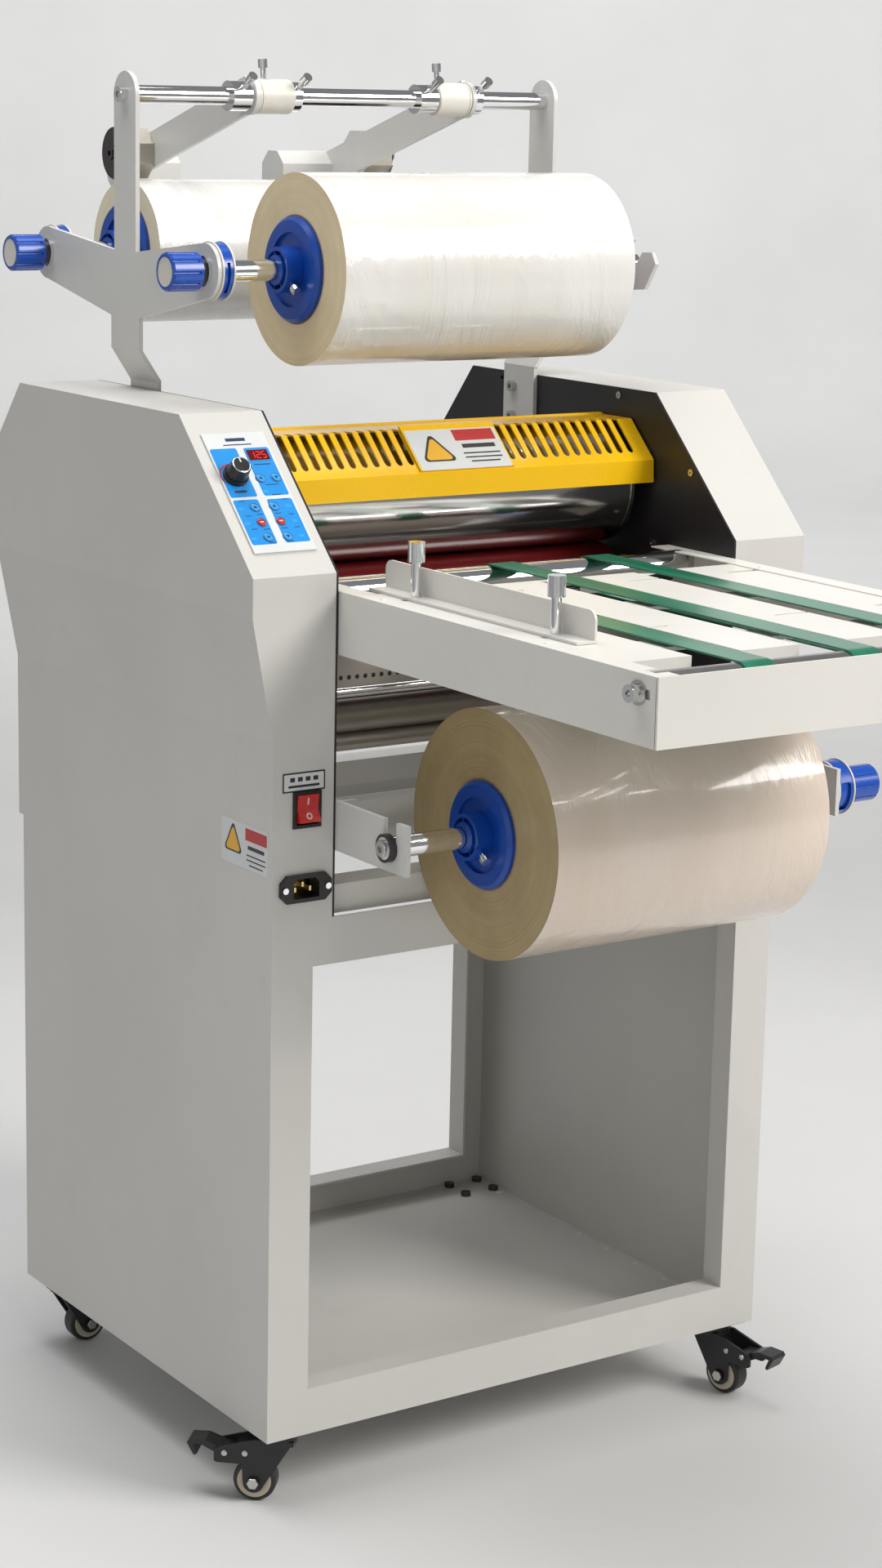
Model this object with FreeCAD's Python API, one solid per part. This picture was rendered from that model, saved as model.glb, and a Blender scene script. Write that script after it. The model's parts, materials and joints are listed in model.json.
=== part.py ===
import FreeCAD, Part
import math
import os

V = FreeCAD.Vector

# Heated roll laminator on a rolling cabinet, in millimetres, +Z up, origin on the floor.
# The operator stands at -Y and feeds sheets towards +Y.  X runs along the rollers.

# ---------------------------------------------------------------- driving dimensions
CASTER_H = 66.0            # floor to the underside of the cabinet
CAB_W = 518.8
CAB_D = 444.5
CAB_H = 446.5
POST_W = 39.0
RAIL_TOP = 39.4
RAIL_BOTTOM = 40.3
FRAME_DEPTH = 25.0
SHEET = 2.0
PLATE = 2.0
FIT = 0.04                 # radial clearance of a shaft in its hole
GAP = 0.3                  # clearance between bodies that pass each other

HOUSING_IN = 200.7         # inner face of the black side plates
COVER_IN = HOUSING_IN + PLATE
BLOCK_OUT = 210.8           # outer face of the red roller's bearing blocks
HEAT_AXLE_END = 220.3
NIP_AXLE_END = 216.3
HOUSING_OUT = CAB_W / 2
BULGE_OUT = 279.0
TAPER_LOW = 594.1 + CASTER_H
TAPER_HIGH = 695.6 + CASTER_H
FRONT_Y = -CAB_D / 2
BACK_Y = 231.0
CAB_TOP = CAB_H + CASTER_H
SLANT_LOW = 728.0 + CASTER_H
HOUSING_TOP = 844.55 + CASTER_H
SLANT_TOP_Y = -103.1
TOP_BACK_Y = 182.0
BACK_LOW = 787.0 + CASTER_H

HEAT_Y = -38.5
HEAT_Z = 759.7 + CASTER_H
HEAT_R = 54.0
NIP_R = 45.0
NIP_GAP = 0.3
NIP_Z = HEAT_Z - HEAT_R - NIP_R - NIP_GAP
NIP_LIFT = 6.0
ROLLER_HALF = 190.0
HEAT_JOURNAL_R = 15.0
NIP_JOURNAL_R = 12.0
HEATER_R = 6.0

GEAR_MODULE = 3.0
HEAT_TEETH = 36
NIP_TEETH = 30
PINION_TEETH = 12
GEAR_X = 217.0
GEAR_W = 13.0
PINION_ANGLE = -25.0       # degrees above the +Y direction, seen from the heated roller

TABLE_TOP = 712.0 + CASTER_H
TABLE_LOW = 662.0 + CASTER_H
TABLE_FRONT = -636.0
TABLE_BACK = -132.0
TABLE_OUT = 200.0
RAIL_T = 1.0                # folded rim that lies on the table sheet
RAIL_IN = 180.0
ROLLER_NOTCH = 6.5          # room left in the rim over each table roller
LIP_GAP = 1.0
SLAT_FRONT = -574.0
SLAT_BACK = -242.0
BELT_X = (-100.0, 0.0, 100.0)
BELT_W = 26.5
BELT_T = 1.2
BELT_OPENING = 45.0
TABLE_ROLLER_R = 13.7
TABLE_ROLLER_Z = TABLE_TOP - 12.9
TABLE_FRONT_ROLLER_Y = -614.0
TABLE_REAR_ROLLER_Y = -160.0

SHAFT_R = 9.0
UPPER_Y, UPPER_Z, UPPER_R = -38.0, 953.0 + CASTER_H, 80.0
REAR_Y, REAR_Z, REAR_R = 246.0, 953.0 + CASTER_H, 64.0
LOWER_Y, LOWER_Z, LOWER_R = -303.0, 521.5 + CASTER_H, 102.0
UPPER_ROLL_X = (-132.0, 163.0)
REAR_ROLL_X = (-139.5, 155.0)
LOWER_ROLL_X = (-111.0, 163.5)
CORE_IN = 38.0
CORE_OUT = 45.5
KNOB_R = 16.0
KNOB_L = 28.0
KNOB_RIBS = 10
BRAKE_R = 23.5
BRAKE_L = 12.0

UPRIGHT_IN = 215.0
UPRIGHT_T = 4.0
POST_Y = 100.0
POST_HALF = 19.25
TIP_R = 23.0
ROD_Z = 1093.0 + CASTER_H
ROD_R = 8.0
BUSHING_R = 15.0
HOOD_Y, HOOD_Z = 345.0, 1021.0 + CASTER_H
HOOD_R = 20.0

WHEEL_R = 18.5
WHEEL_W = 18.0
CASTER_TRAIL = 20.0
CASTERS = {
    "front_left": (-232.0, -197.0, 137.8, True),
    "front_right": (232.0, -197.0, -75.5, True),
    "rear_left": (-232.0, 197.0, 0.0, False),
    "rear_right": (232.0, 197.0, 30.0, False),
}

SLANT_ANGLE = math.degrees(math.atan2(HOUSING_TOP - SLANT_LOW, SLANT_TOP_Y - FRONT_Y))

# The origin is the middle of the whole part's footprint: from the front left brake pedal to
# the lower knob's end, and from the feed table's lip to the slitters' rear hoods.
LOWER_KNOB_END = 296.0
PEDAL_REACH = 78.0
LEG_IN = WHEEL_W / 2 + 1.0
PEDAL_X0, PEDAL_HEADING = CASTERS["front_left"][0], math.radians(CASTERS["front_left"][2])
PEDAL_LEFT = (PEDAL_X0 + PEDAL_REACH * math.cos(PEDAL_HEADING)
              - (LEG_IN - GAP) * math.sin(PEDAL_HEADING))
SHIFT = V(-(LOWER_KNOB_END + PEDAL_LEFT) / 2, -(TABLE_FRONT + HOOD_Y + HOOD_R) / 2, 0)

os.makedirs("parts", exist_ok=True)


# ---------------------------------------------------------------- shape helpers
def box(x0, x1, y0, y1, z0, z1):
    return Part.makeBox(x1 - x0, y1 - y0, z1 - z0, V(x0, y0, z0))


def rod_x(x0, x1, y, z, radius):
    return Part.makeCylinder(radius, x1 - x0, V(x0, y, z), V(1, 0, 0))


def rod_z(x, y, z0, z1, radius):
    return Part.makeCylinder(radius, z1 - z0, V(x, y, z0), V(0, 0, 1))


def ring_x(x0, x1, y, z, outer, inner):
    return rod_x(x0, x1, y, z, outer).cut(rod_x(x0 - 1, x1 + 1, y, z, inner))


def prism_x(x0, x1, points):
    """Extrude a (y, z) polygon along X."""
    loop = [V(x0, y, z) for y, z in points]
    return Part.Face(Part.makePolygon(loop + loop[:1])).extrude(V(x1 - x0, 0, 0))


def prism_y(y0, y1, points):
    """Extrude an (x, z) polygon along Y."""
    loop = [V(x, y0, z) for x, z in points]
    return Part.Face(Part.makePolygon(loop + loop[:1])).extrude(V(0, y1 - y0, 0))


def join(shapes):
    whole = shapes[0]
    for shape in shapes[1:]:
        whole = whole.fuse(shape)
    return whole.removeSplitter()


def carve(shape, tools):
    for tool in tools:
        shape = shape.cut(tool)
    return shape


def mirrored(shape):
    """The matching piece on the other side of the machine."""
    return shape.mirror(V(0, 0, 0), V(1, 0, 0))


def save(node, shapes):
    """Write one sub-part; several solids are separate pieces of one group."""
    moved = []
    for shape in shapes:
        for solid in shape.Solids:
            copy = solid.copy()
            copy.translate(SHIFT)
            moved.append(copy)
    whole = moved[0] if len(moved) == 1 else Part.makeCompound(moved)
    whole.exportStep("parts/" + node + ".step")


def slanted(shape):
    """Place a shape drawn as (x, up the slant, off the slant) on the left housing's face."""
    placed = shape.copy()
    placed.rotate(V(0, 0, 0), V(1, 0, 0), SLANT_ANGLE)
    placed.translate(V(0, FRONT_Y, SLANT_LOW))
    return placed


def socket_head_x(x, direction, y, z, radius, height, hex_radius):
    """A socket cap head standing on the plane x, pointing along direction."""
    head = Part.makeCylinder(radius, height, V(x, y, z), V(direction, 0, 0))
    points = []
    for k in range(6):
        angle = math.radians(60 * k)
        points.append((y + hex_radius * math.cos(angle), z + hex_radius * math.sin(angle)))
    far = x + direction * height
    near = far - direction * height / 2
    return head.cut(prism_x(near, far + direction, points))


# ---------------------------------------------------------------- cabinet
def cabinet():
    side = box(-HOUSING_OUT, -HOUSING_OUT + SHEET, FRONT_Y + SHEET, -FRONT_Y - SHEET,
               CASTER_H, CAB_TOP)
    save("cabinet_side_panels", [side, mirrored(side)])

    half = HOUSING_OUT - POST_W
    low, high = CASTER_H + RAIL_BOTTOM, CAB_TOP - RAIL_TOP
    sheet = box(-HOUSING_OUT, HOUSING_OUT, FRONT_Y, FRONT_Y + SHEET, CASTER_H, CAB_TOP)
    lining = box(-half - SHEET, half + SHEET, FRONT_Y, FRONT_Y + FRAME_DEPTH,
                 low - SHEET, high + SHEET)
    hole = box(-half, half, FRONT_Y - 1, FRONT_Y + FRAME_DEPTH + 1, low, high)
    frame = join([sheet, lining]).cut(hole)
    rear = frame.mirror(V(0, 0, 0), V(0, 1, 0))
    save("cabinet_frames", [frame, rear])

    inner = HOUSING_OUT - SHEET
    edge = -FRONT_Y - SHEET
    tray = box(-inner, inner, -edge, edge, CASTER_H, CASTER_H + SHEET)
    save("cabinet_floor", [tray])


# ---------------------------------------------------------------- casters
CASTER_PLATE_T = 2.5
CASTER_CUP_H = 6.0
CROWN_TOP = CASTER_H - CASTER_PLATE_T - CASTER_CUP_H - GAP
CROWN_T = 4.0
LEG_T = 2.5
LEG_END_R = 9.0
KINGPIN_R = 5.0


def caster_fork():
    """Fork with its trail along +X and the swivel axis on the origin."""
    wide = LEG_IN + LEG_T
    crown = rod_z(0, 0, CROWN_TOP - CROWN_T, CROWN_TOP, 15.0)
    pin = rod_z(0, 0, CROWN_TOP - CROWN_T, CASTER_H - CASTER_PLATE_T - FIT, KINGPIN_R)
    leg = [(-14.0, CROWN_TOP), (18.0, CROWN_TOP), (52.0, 47.5), (54.0, 45.0), (54.0, 36.0),
           (52.0, 34.8), (CASTER_TRAIL + 10.0, 34.5), (CASTER_TRAIL + LEG_END_R, WHEEL_R),
           (CASTER_TRAIL - LEG_END_R + 0.5, WHEEL_R - 3.0)]
    pieces = [crown, pin]
    for side in (-1, 1):
        y0, y1 = sorted((side * LEG_IN, side * wide))
        pieces.append(prism_y(y0, y1, leg))
        pieces.append(Part.makeCylinder(LEG_END_R, LEG_T, V(CASTER_TRAIL, y0, WHEEL_R), V(0, 1, 0)))
    deck = box(-14.0, CASTER_TRAIL - 4.0, -wide, wide, CROWN_TOP - CROWN_T, CROWN_TOP)
    pieces.append(deck)
    axle = Part.makeCylinder(3.0, 2 * wide, V(CASTER_TRAIL, -wide, WHEEL_R), V(0, 1, 0))
    bolt = Part.makeCylinder(5.5, 3.0, V(CASTER_TRAIL, wide, WHEEL_R), V(0, 1, 0))
    nut = Part.makeCylinder(5.5, 3.0, V(CASTER_TRAIL, -wide - 3.0, WHEEL_R), V(0, 1, 0))
    return join(pieces + [axle, bolt, nut])


def caster_wheel():
    hub = Part.makeCylinder(WHEEL_R - 4.0, WHEEL_W, V(CASTER_TRAIL, -WHEEL_W / 2, WHEEL_R), V(0, 1, 0))
    tyre = Part.makeCylinder(WHEEL_R, WHEEL_W - 2.0, V(CASTER_TRAIL, 1 - WHEEL_W / 2, WHEEL_R),
                             V(0, 1, 0))
    bore = Part.makeCylinder(3.0 + FIT, 60.0, V(CASTER_TRAIL, -30.0, WHEEL_R), V(0, 1, 0))
    rim = [e for e in tyre.Edges if abs(e.Length - 2 * math.pi * WHEEL_R) < 0.1]
    tyre = tyre.makeFillet(2.5, rim)
    return [hub.cut(bore), tyre.cut(hub)]


PEDAL_X, PEDAL_Z = CASTER_TRAIL + 25.0, 43.5


def caster_pedal():
    """Brake lever between the fork legs, pivoting over the wheel."""
    half = LEG_IN - GAP
    pin = Part.makeCylinder(2.5, 2 * half, V(PEDAL_X, -half, PEDAL_Z), V(0, 1, 0))
    lever = [(PEDAL_X - 6.0, PEDAL_Z + 2.6), (PEDAL_X - 5.0, PEDAL_Z - 2.2), (PEDAL_X + 6.0, PEDAL_Z - 2.6),
             (66.0, 48.5), (73.0, 48.0), (69.5, 39.0), (72.0, 38.0), (PEDAL_REACH, 49.0),
             (76.0, 51.8), (62.0, 52.4), (PEDAL_X + 3.0, PEDAL_Z + 3.6)]
    return join([pin, prism_y(-half, half, lever)])


def place_caster(shape, x, y, heading):
    placed = shape.copy()
    placed.rotate(V(0, 0, 0), V(0, 0, 1), heading)
    placed.translate(V(x, y, 0))
    return placed


def casters():
    plates = []
    for name, (x, y, heading, braked) in CASTERS.items():
        top = box(x - 23.0, x + 23.0, y - 21.0, y + 21.0, CASTER_H - CASTER_PLATE_T, CASTER_H)
        cup = rod_z(x, y, CROWN_TOP + GAP, CASTER_H - CASTER_PLATE_T, 16.0)
        bore = rod_z(x, y, CROWN_TOP - 1, CASTER_H - CASTER_PLATE_T, KINGPIN_R + FIT)
        plates.append(join([top, cup]).cut(bore))
        save("caster_fork_" + name, [place_caster(caster_fork(), x, y, heading)])
        wheel = [place_caster(s, x, y, heading) for s in caster_wheel()]
        save("caster_wheel_" + name, wheel)
        if braked:
            save("caster_pedal_" + name, [place_caster(caster_pedal(), x, y, heading)])
    save("caster_plates", plates)


# ---------------------------------------------------------------- housings
PROFILE = [(FRONT_Y, CAB_TOP), (FRONT_Y, SLANT_LOW), (SLANT_TOP_Y, HOUSING_TOP),
           (TOP_BACK_Y, HOUSING_TOP), (BACK_Y, BACK_LOW), (BACK_Y, CAB_TOP)]


def inset(points, distance):
    """Move each side of a clockwise convex polygon inwards by a distance."""
    lines = []
    count = len(points)
    for i in range(count):
        (y0, z0), (y1, z1) = points[i], points[(i + 1) % count]
        length = math.hypot(y1 - y0, z1 - z0)
        ny, nz = (z1 - z0) / length, -(y1 - y0) / length
        lines.append((ny, nz, ny * y0 + nz * z0 + distance))
    corners = []
    for i in range(count):
        a, b = lines[i - 1], lines[i]
        det = a[0] * b[1] - a[1] * b[0]
        corners.append(((a[2] * b[1] - b[2] * a[1]) / det, (a[0] * b[2] - b[0] * a[2]) / det))
    return corners


SWITCH_X = (-241.0, -215.0)
SWITCH_Z = (524.0 + CASTER_H, 554.0 + CASTER_H)
INLET_X = (-253.0, -205.0)
INLET_Z = (463.0 + CASTER_H, 486.0 + CASTER_H)
INLET_MID_X = (INLET_X[0] + INLET_X[1]) / 2
INLET_MID_Z = (INLET_Z[0] + INLET_Z[1]) / 2
BEZEL = 1.6
SPEED_X, SPEED_S = -255.0, 100.0


def cover_outline(thin):
    return [(-COVER_IN, CAB_TOP), (-COVER_IN, HOUSING_TOP), (-BULGE_OUT + thin, HOUSING_TOP),
            (-BULGE_OUT + thin, TAPER_HIGH), (-HOUSING_OUT + thin, TAPER_LOW),
            (-HOUSING_OUT + thin, CAB_TOP)]


def cover():
    solid = prism_x(-BULGE_OUT - 1, -COVER_IN, PROFILE)
    solid = solid.common(prism_y(FRONT_Y - 5, BACK_Y + 5, cover_outline(0.0)))
    cavity = prism_x(-BULGE_OUT - 1, -COVER_IN + 1, inset(PROFILE, SHEET))
    inner = [(x + (1.0 if i < 2 else 0.0), z) for i, (x, z) in enumerate(cover_outline(SHEET))]
    return solid.cut(cavity.common(prism_y(FRONT_Y - 5, BACK_Y + 5, inner)))


def side_covers():
    left = cover()
    tools = [box(SWITCH_X[0] + BEZEL, SWITCH_X[1] - BEZEL, FRONT_Y - 1, FRONT_Y + SHEET + 1,
                 SWITCH_Z[0] + BEZEL, SWITCH_Z[1] - BEZEL),
             box(INLET_MID_X - 14.0, INLET_MID_X + 14.0, FRONT_Y - 1, FRONT_Y + SHEET + 1,
                 INLET_Z[0] + 1.5, INLET_Z[1] - 1.5),
             slanted(rod_z(SPEED_X, SPEED_S, -SHEET - 2, 1, 4.0))]
    save("side_covers", [carve(left, tools), mirrored(cover())])


BEARING_OUT = 26.0
BLOCK_HALF = 30.0
NIP_SLOT_LOW = NIP_Z - BLOCK_HALF - NIP_LIFT - 0.6
BEARING_X = (HOUSING_IN - 0.5, HOUSING_IN + 13.0)
CROSSBAR_Y = (-213.0, -183.0)
HINGE_Y, HINGE_Z = -26.0, 817.0 + CASTER_H
HINGE_PIN_R = 2.5
GUARD_HALF = 199.0


def inner_plate():
    """Black side plate on the left."""
    plate = prism_x(-HOUSING_IN - PLATE, -HOUSING_IN, PROFILE)
    tools = [rod_x(-COVER_IN - 1, -HOUSING_IN + 1, HEAT_Y, HEAT_Z, BEARING_OUT),
             box(-HOUSING_IN - PLATE - 1, -HOUSING_IN + 1, HEAT_Y - BLOCK_HALF - GAP,
                 HEAT_Y + BLOCK_HALF + GAP, NIP_SLOT_LOW, NIP_Z + BLOCK_HALF + GAP),
             rod_x(-HOUSING_IN - 5, -HOUSING_IN + 1, HINGE_Y, HINGE_Z, HINGE_PIN_R + FIT)]
    return carve(plate, tools)


def chassis():
    left = inner_plate()
    right = mirrored(left)
    right = right.cut(rod_x(HOUSING_IN - 1, HOUSING_IN + 5, 132.7, 837.5 + CASTER_H, 2.0))

    low = CAB_TOP
    front_bar = box(-HOUSING_IN, HOUSING_IN, CROSSBAR_Y[0], CROSSBAR_Y[1], low, low + 24.0)
    front_bar = front_bar.cut(box(-HOUSING_IN - 1, HOUSING_IN + 1, CROSSBAR_Y[0] + SHEET,
                                  CROSSBAR_Y[1] - SHEET, low - 1, low + 22.0))
    rear_bar = front_bar.mirror(V(0, 0, 0), V(0, 1, 0))
    web_plate = box(-HOUSING_IN, HOUSING_IN, -120.0, -118.0, 612.0 + CASTER_H, 655.0 + CASTER_H)
    guide_bar = rod_x(-HOUSING_IN, HOUSING_IN, -112.0, 606.0 + CASTER_H, 4.5)
    big_bar = rod_x(-HOUSING_IN, HOUSING_IN, -45.0, 570.0 + CASTER_H, 14.0)
    small_bar = rod_x(-HOUSING_IN, HOUSING_IN, -45.0, 547.0 + CASTER_H, 8.5)
    front_tube = rod_x(-HOUSING_IN, HOUSING_IN, -120.0, 497.0 + CASTER_H, 20.0)
    rear_roll = rod_x(-HOUSING_IN, HOUSING_IN, 150.0, 530.0 + CASTER_H, 22.0)
    rear_tie = rod_x(-HOUSING_IN, HOUSING_IN, 120.0, 700.0 + CASTER_H, 12.0)
    save("chassis", [left, right, front_bar, rear_bar, web_plate, guide_bar, big_bar, small_bar,
                     front_tube, rear_roll, rear_tie])


# ---------------------------------------------------------------- rollers and gears
def gear(teeth, x0, width, y, z, phase):
    """Trapezoid-toothed spur gear about an X axis; phase is a tooth's angle in degrees."""
    pitch = GEAR_MODULE * teeth / 2
    tip, root = pitch + 0.9 * GEAR_MODULE, pitch - 1.2 * GEAR_MODULE
    step = 360.0 / teeth
    points = []
    for k in range(teeth):
        middle = phase + k * step
        for radius, share in ((root, -0.34), (tip, -0.12), (tip, 0.12), (root, 0.34)):
            angle = math.radians(middle + share * step)
            points.append((y + radius * math.cos(angle), z + radius * math.sin(angle)))
    return prism_x(x0, x0 + width, points)


PINION_DISTANCE = GEAR_MODULE * (HEAT_TEETH + PINION_TEETH) / 2 + NIP_GAP
PINION_Y = HEAT_Y + PINION_DISTANCE * math.cos(math.radians(PINION_ANGLE))
PINION_Z = HEAT_Z + PINION_DISTANCE * math.sin(math.radians(PINION_ANGLE))
PINION_SHAFT_R = 5.0


def rollers():
    drum = rod_x(-ROLLER_HALF, ROLLER_HALF, HEAT_Y, HEAT_Z, HEAT_R)
    groove = ring_x(ROLLER_HALF - 4.5, ROLLER_HALF - 3.0, HEAT_Y, HEAT_Z, HEAT_R + 1, HEAT_R - 1.2)
    axle = rod_x(-HEAT_AXLE_END, GEAR_X + GEAR_W + 4, HEAT_Y, HEAT_Z, HEAT_JOURNAL_R)
    hollow = rod_x(-BULGE_OUT, BULGE_OUT, HEAT_Y, HEAT_Z, HEATER_R + 4.0)
    drum = join([drum, axle]).cut(groove).cut(hollow)
    wheel = gear(HEAT_TEETH, GEAR_X, GEAR_W, HEAT_Y, HEAT_Z, -90.0)
    wheel = wheel.cut(rod_x(GEAR_X - 1, GEAR_X + GEAR_W + 1, HEAT_Y, HEAT_Z, HEAT_JOURNAL_R))
    save("heated_roller", [drum, wheel])

    tube = rod_x(-ROLLER_HALF, ROLLER_HALF, HEAT_Y, NIP_Z, NIP_R)
    tube = tube.cut(rod_x(-BULGE_OUT, BULGE_OUT, HEAT_Y, NIP_Z, NIP_R - 8.0))
    steel = join([rod_x(-ROLLER_HALF, ROLLER_HALF, HEAT_Y, NIP_Z, NIP_R - 8.0),
                  rod_x(-NIP_AXLE_END, GEAR_X + GEAR_W + 4, HEAT_Y, NIP_Z, NIP_JOURNAL_R)])
    follower = gear(NIP_TEETH, GEAR_X, GEAR_W, HEAT_Y, NIP_Z, 90.0 + 180.0 / NIP_TEETH)
    follower = follower.cut(rod_x(GEAR_X - 1, GEAR_X + GEAR_W + 1, HEAT_Y, NIP_Z, NIP_JOURNAL_R))
    save("silicone_roller", [tube, steel, follower])

    block = box(-BLOCK_OUT, -HOUSING_IN + 1.0, HEAT_Y - BLOCK_HALF, HEAT_Y + BLOCK_HALF,
                NIP_Z - BLOCK_HALF, NIP_Z + BLOCK_HALF)
    block = block.cut(rod_x(-BLOCK_OUT - 1, -HOUSING_IN + 2, HEAT_Y, NIP_Z, NIP_JOURNAL_R + FIT))
    save("nip_blocks", [block, mirrored(block)])

    phase = PINION_ANGLE + 180.0
    tooth = 360.0 / HEAT_TEETH
    from_tooth = ((PINION_ANGLE + 90.0) / tooth) % 1.0
    turn = (from_tooth - 0.5) * 360.0 / PINION_TEETH
    pinion = gear(PINION_TEETH, GEAR_X, GEAR_W, PINION_Y, PINION_Z, phase + turn)
    stub = rod_x(GEAR_X - 2, GEAR_X + GEAR_W + 10, PINION_Y, PINION_Z, PINION_SHAFT_R)
    save("motor_gear", [join([pinion, stub])])


MOTOR_X = 247.0


def electrics():
    gearbox = box(GEAR_X + GEAR_W + 4, 264.0, PINION_Y - 22.0, PINION_Y + 60.0, PINION_Z - 30.0,
                  PINION_Z + 30.0)
    gearbox = gearbox.cut(rod_x(GEAR_X, GEAR_X + GEAR_W + 12, PINION_Y, PINION_Z,
                                PINION_SHAFT_R + FIT))
    motor = Part.makeCylinder(24.0, 100.0, V(MOTOR_X, PINION_Y + 60.0, PINION_Z + 4.0), V(0, 1, 0))
    board = box(-BULGE_OUT + 12.0, -BULGE_OUT + 14.0, -90.0, 90.0, 705.0 + CASTER_H, 825.0 + CASTER_H)
    supply = box(-252.0, -214.0, 20.0, 180.0, 470.0 + CASTER_H, 560.0 + CASTER_H)
    heater = rod_x(-240.0, GEAR_X + GEAR_W + 12, HEAT_Y, HEAT_Z, HEATER_R)
    bearing = ring_x(BEARING_X[0], BEARING_X[1], HEAT_Y, HEAT_Z, BEARING_OUT, HEAT_JOURNAL_R + FIT)
    save("drive_and_heater", [gearbox, motor, board, supply, heater, bearing, mirrored(bearing)])


# ---------------------------------------------------------------- guard
GUARD_T = 1.5
GUARD_LINE = [(HINGE_Y, 819.0 + CASTER_H), (-72.0, 819.0 + CASTER_H), (-107.0, 785.7 + CASTER_H),
              (-108.0, 765.7 + CASTER_H)]
SLOT_PITCH = 11.6
SLOT_W = 6.2
SLOT_END_Y = -100.0
SLOTS = 32
PLATE_HALF = 48.0


def guard():
    under = [(y + dy, z + dz) for (y, z), (dy, dz) in
             zip(GUARD_LINE, ((0.0, -GUARD_T), (0.6, -GUARD_T), (GUARD_T, -0.6), (GUARD_T, 0.0)))]
    sheet = prism_x(-GUARD_HALF, GUARD_HALF, GUARD_LINE + under[::-1])
    cuts = []
    for k in range(SLOTS):
        x = (k - (SLOTS - 1) / 2) * SLOT_PITCH
        round_y = SLOT_END_Y + SLOT_W / 2
        slot = box(x - SLOT_W / 2, x + SLOT_W / 2, round_y, -62.0, HINGE_Z - 30.0, HINGE_Z + 10.0)
        cuts.append(join([slot, rod_z(x, round_y, HINGE_Z - 30.0, HINGE_Z + 10.0, SLOT_W / 2)]))
    tools = Part.makeCompound(cuts)
    tube = rod_x(-GUARD_HALF, GUARD_HALF, HINGE_Y, HINGE_Z, 3.4)
    pin = rod_x(-HOUSING_IN - 2.5, HOUSING_IN + 2.5, HINGE_Y, HINGE_Z, HINGE_PIN_R)
    label = prism_x(-PLATE_HALF, PLATE_HALF, [(-70.0, HINGE_Z + 4.0), (-106.0, HINGE_Z - 30.3),
                                             (-107.2, HINGE_Z - 29.0), (-71.0, HINGE_Z + 5.4)])
    body = join([sheet.cut(tools), tube, pin])
    save("roller_guard", [body, label.cut(body)])


# ---------------------------------------------------------------- feed table
FENCE_X = (-173.0, -155.0)
FENCE_Y = (-504.0, -223.0)
FENCE_H = 24.0
SCREW_X = -164.0
SCREW_YS = (-465.0, -278.0)
FENCE_TRAVEL = 12.0
SCREW_SHANK_R = 3.0
SLAT_SLOTS = ((-77.5, -60.5), (45.0, 77.5))


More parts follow.
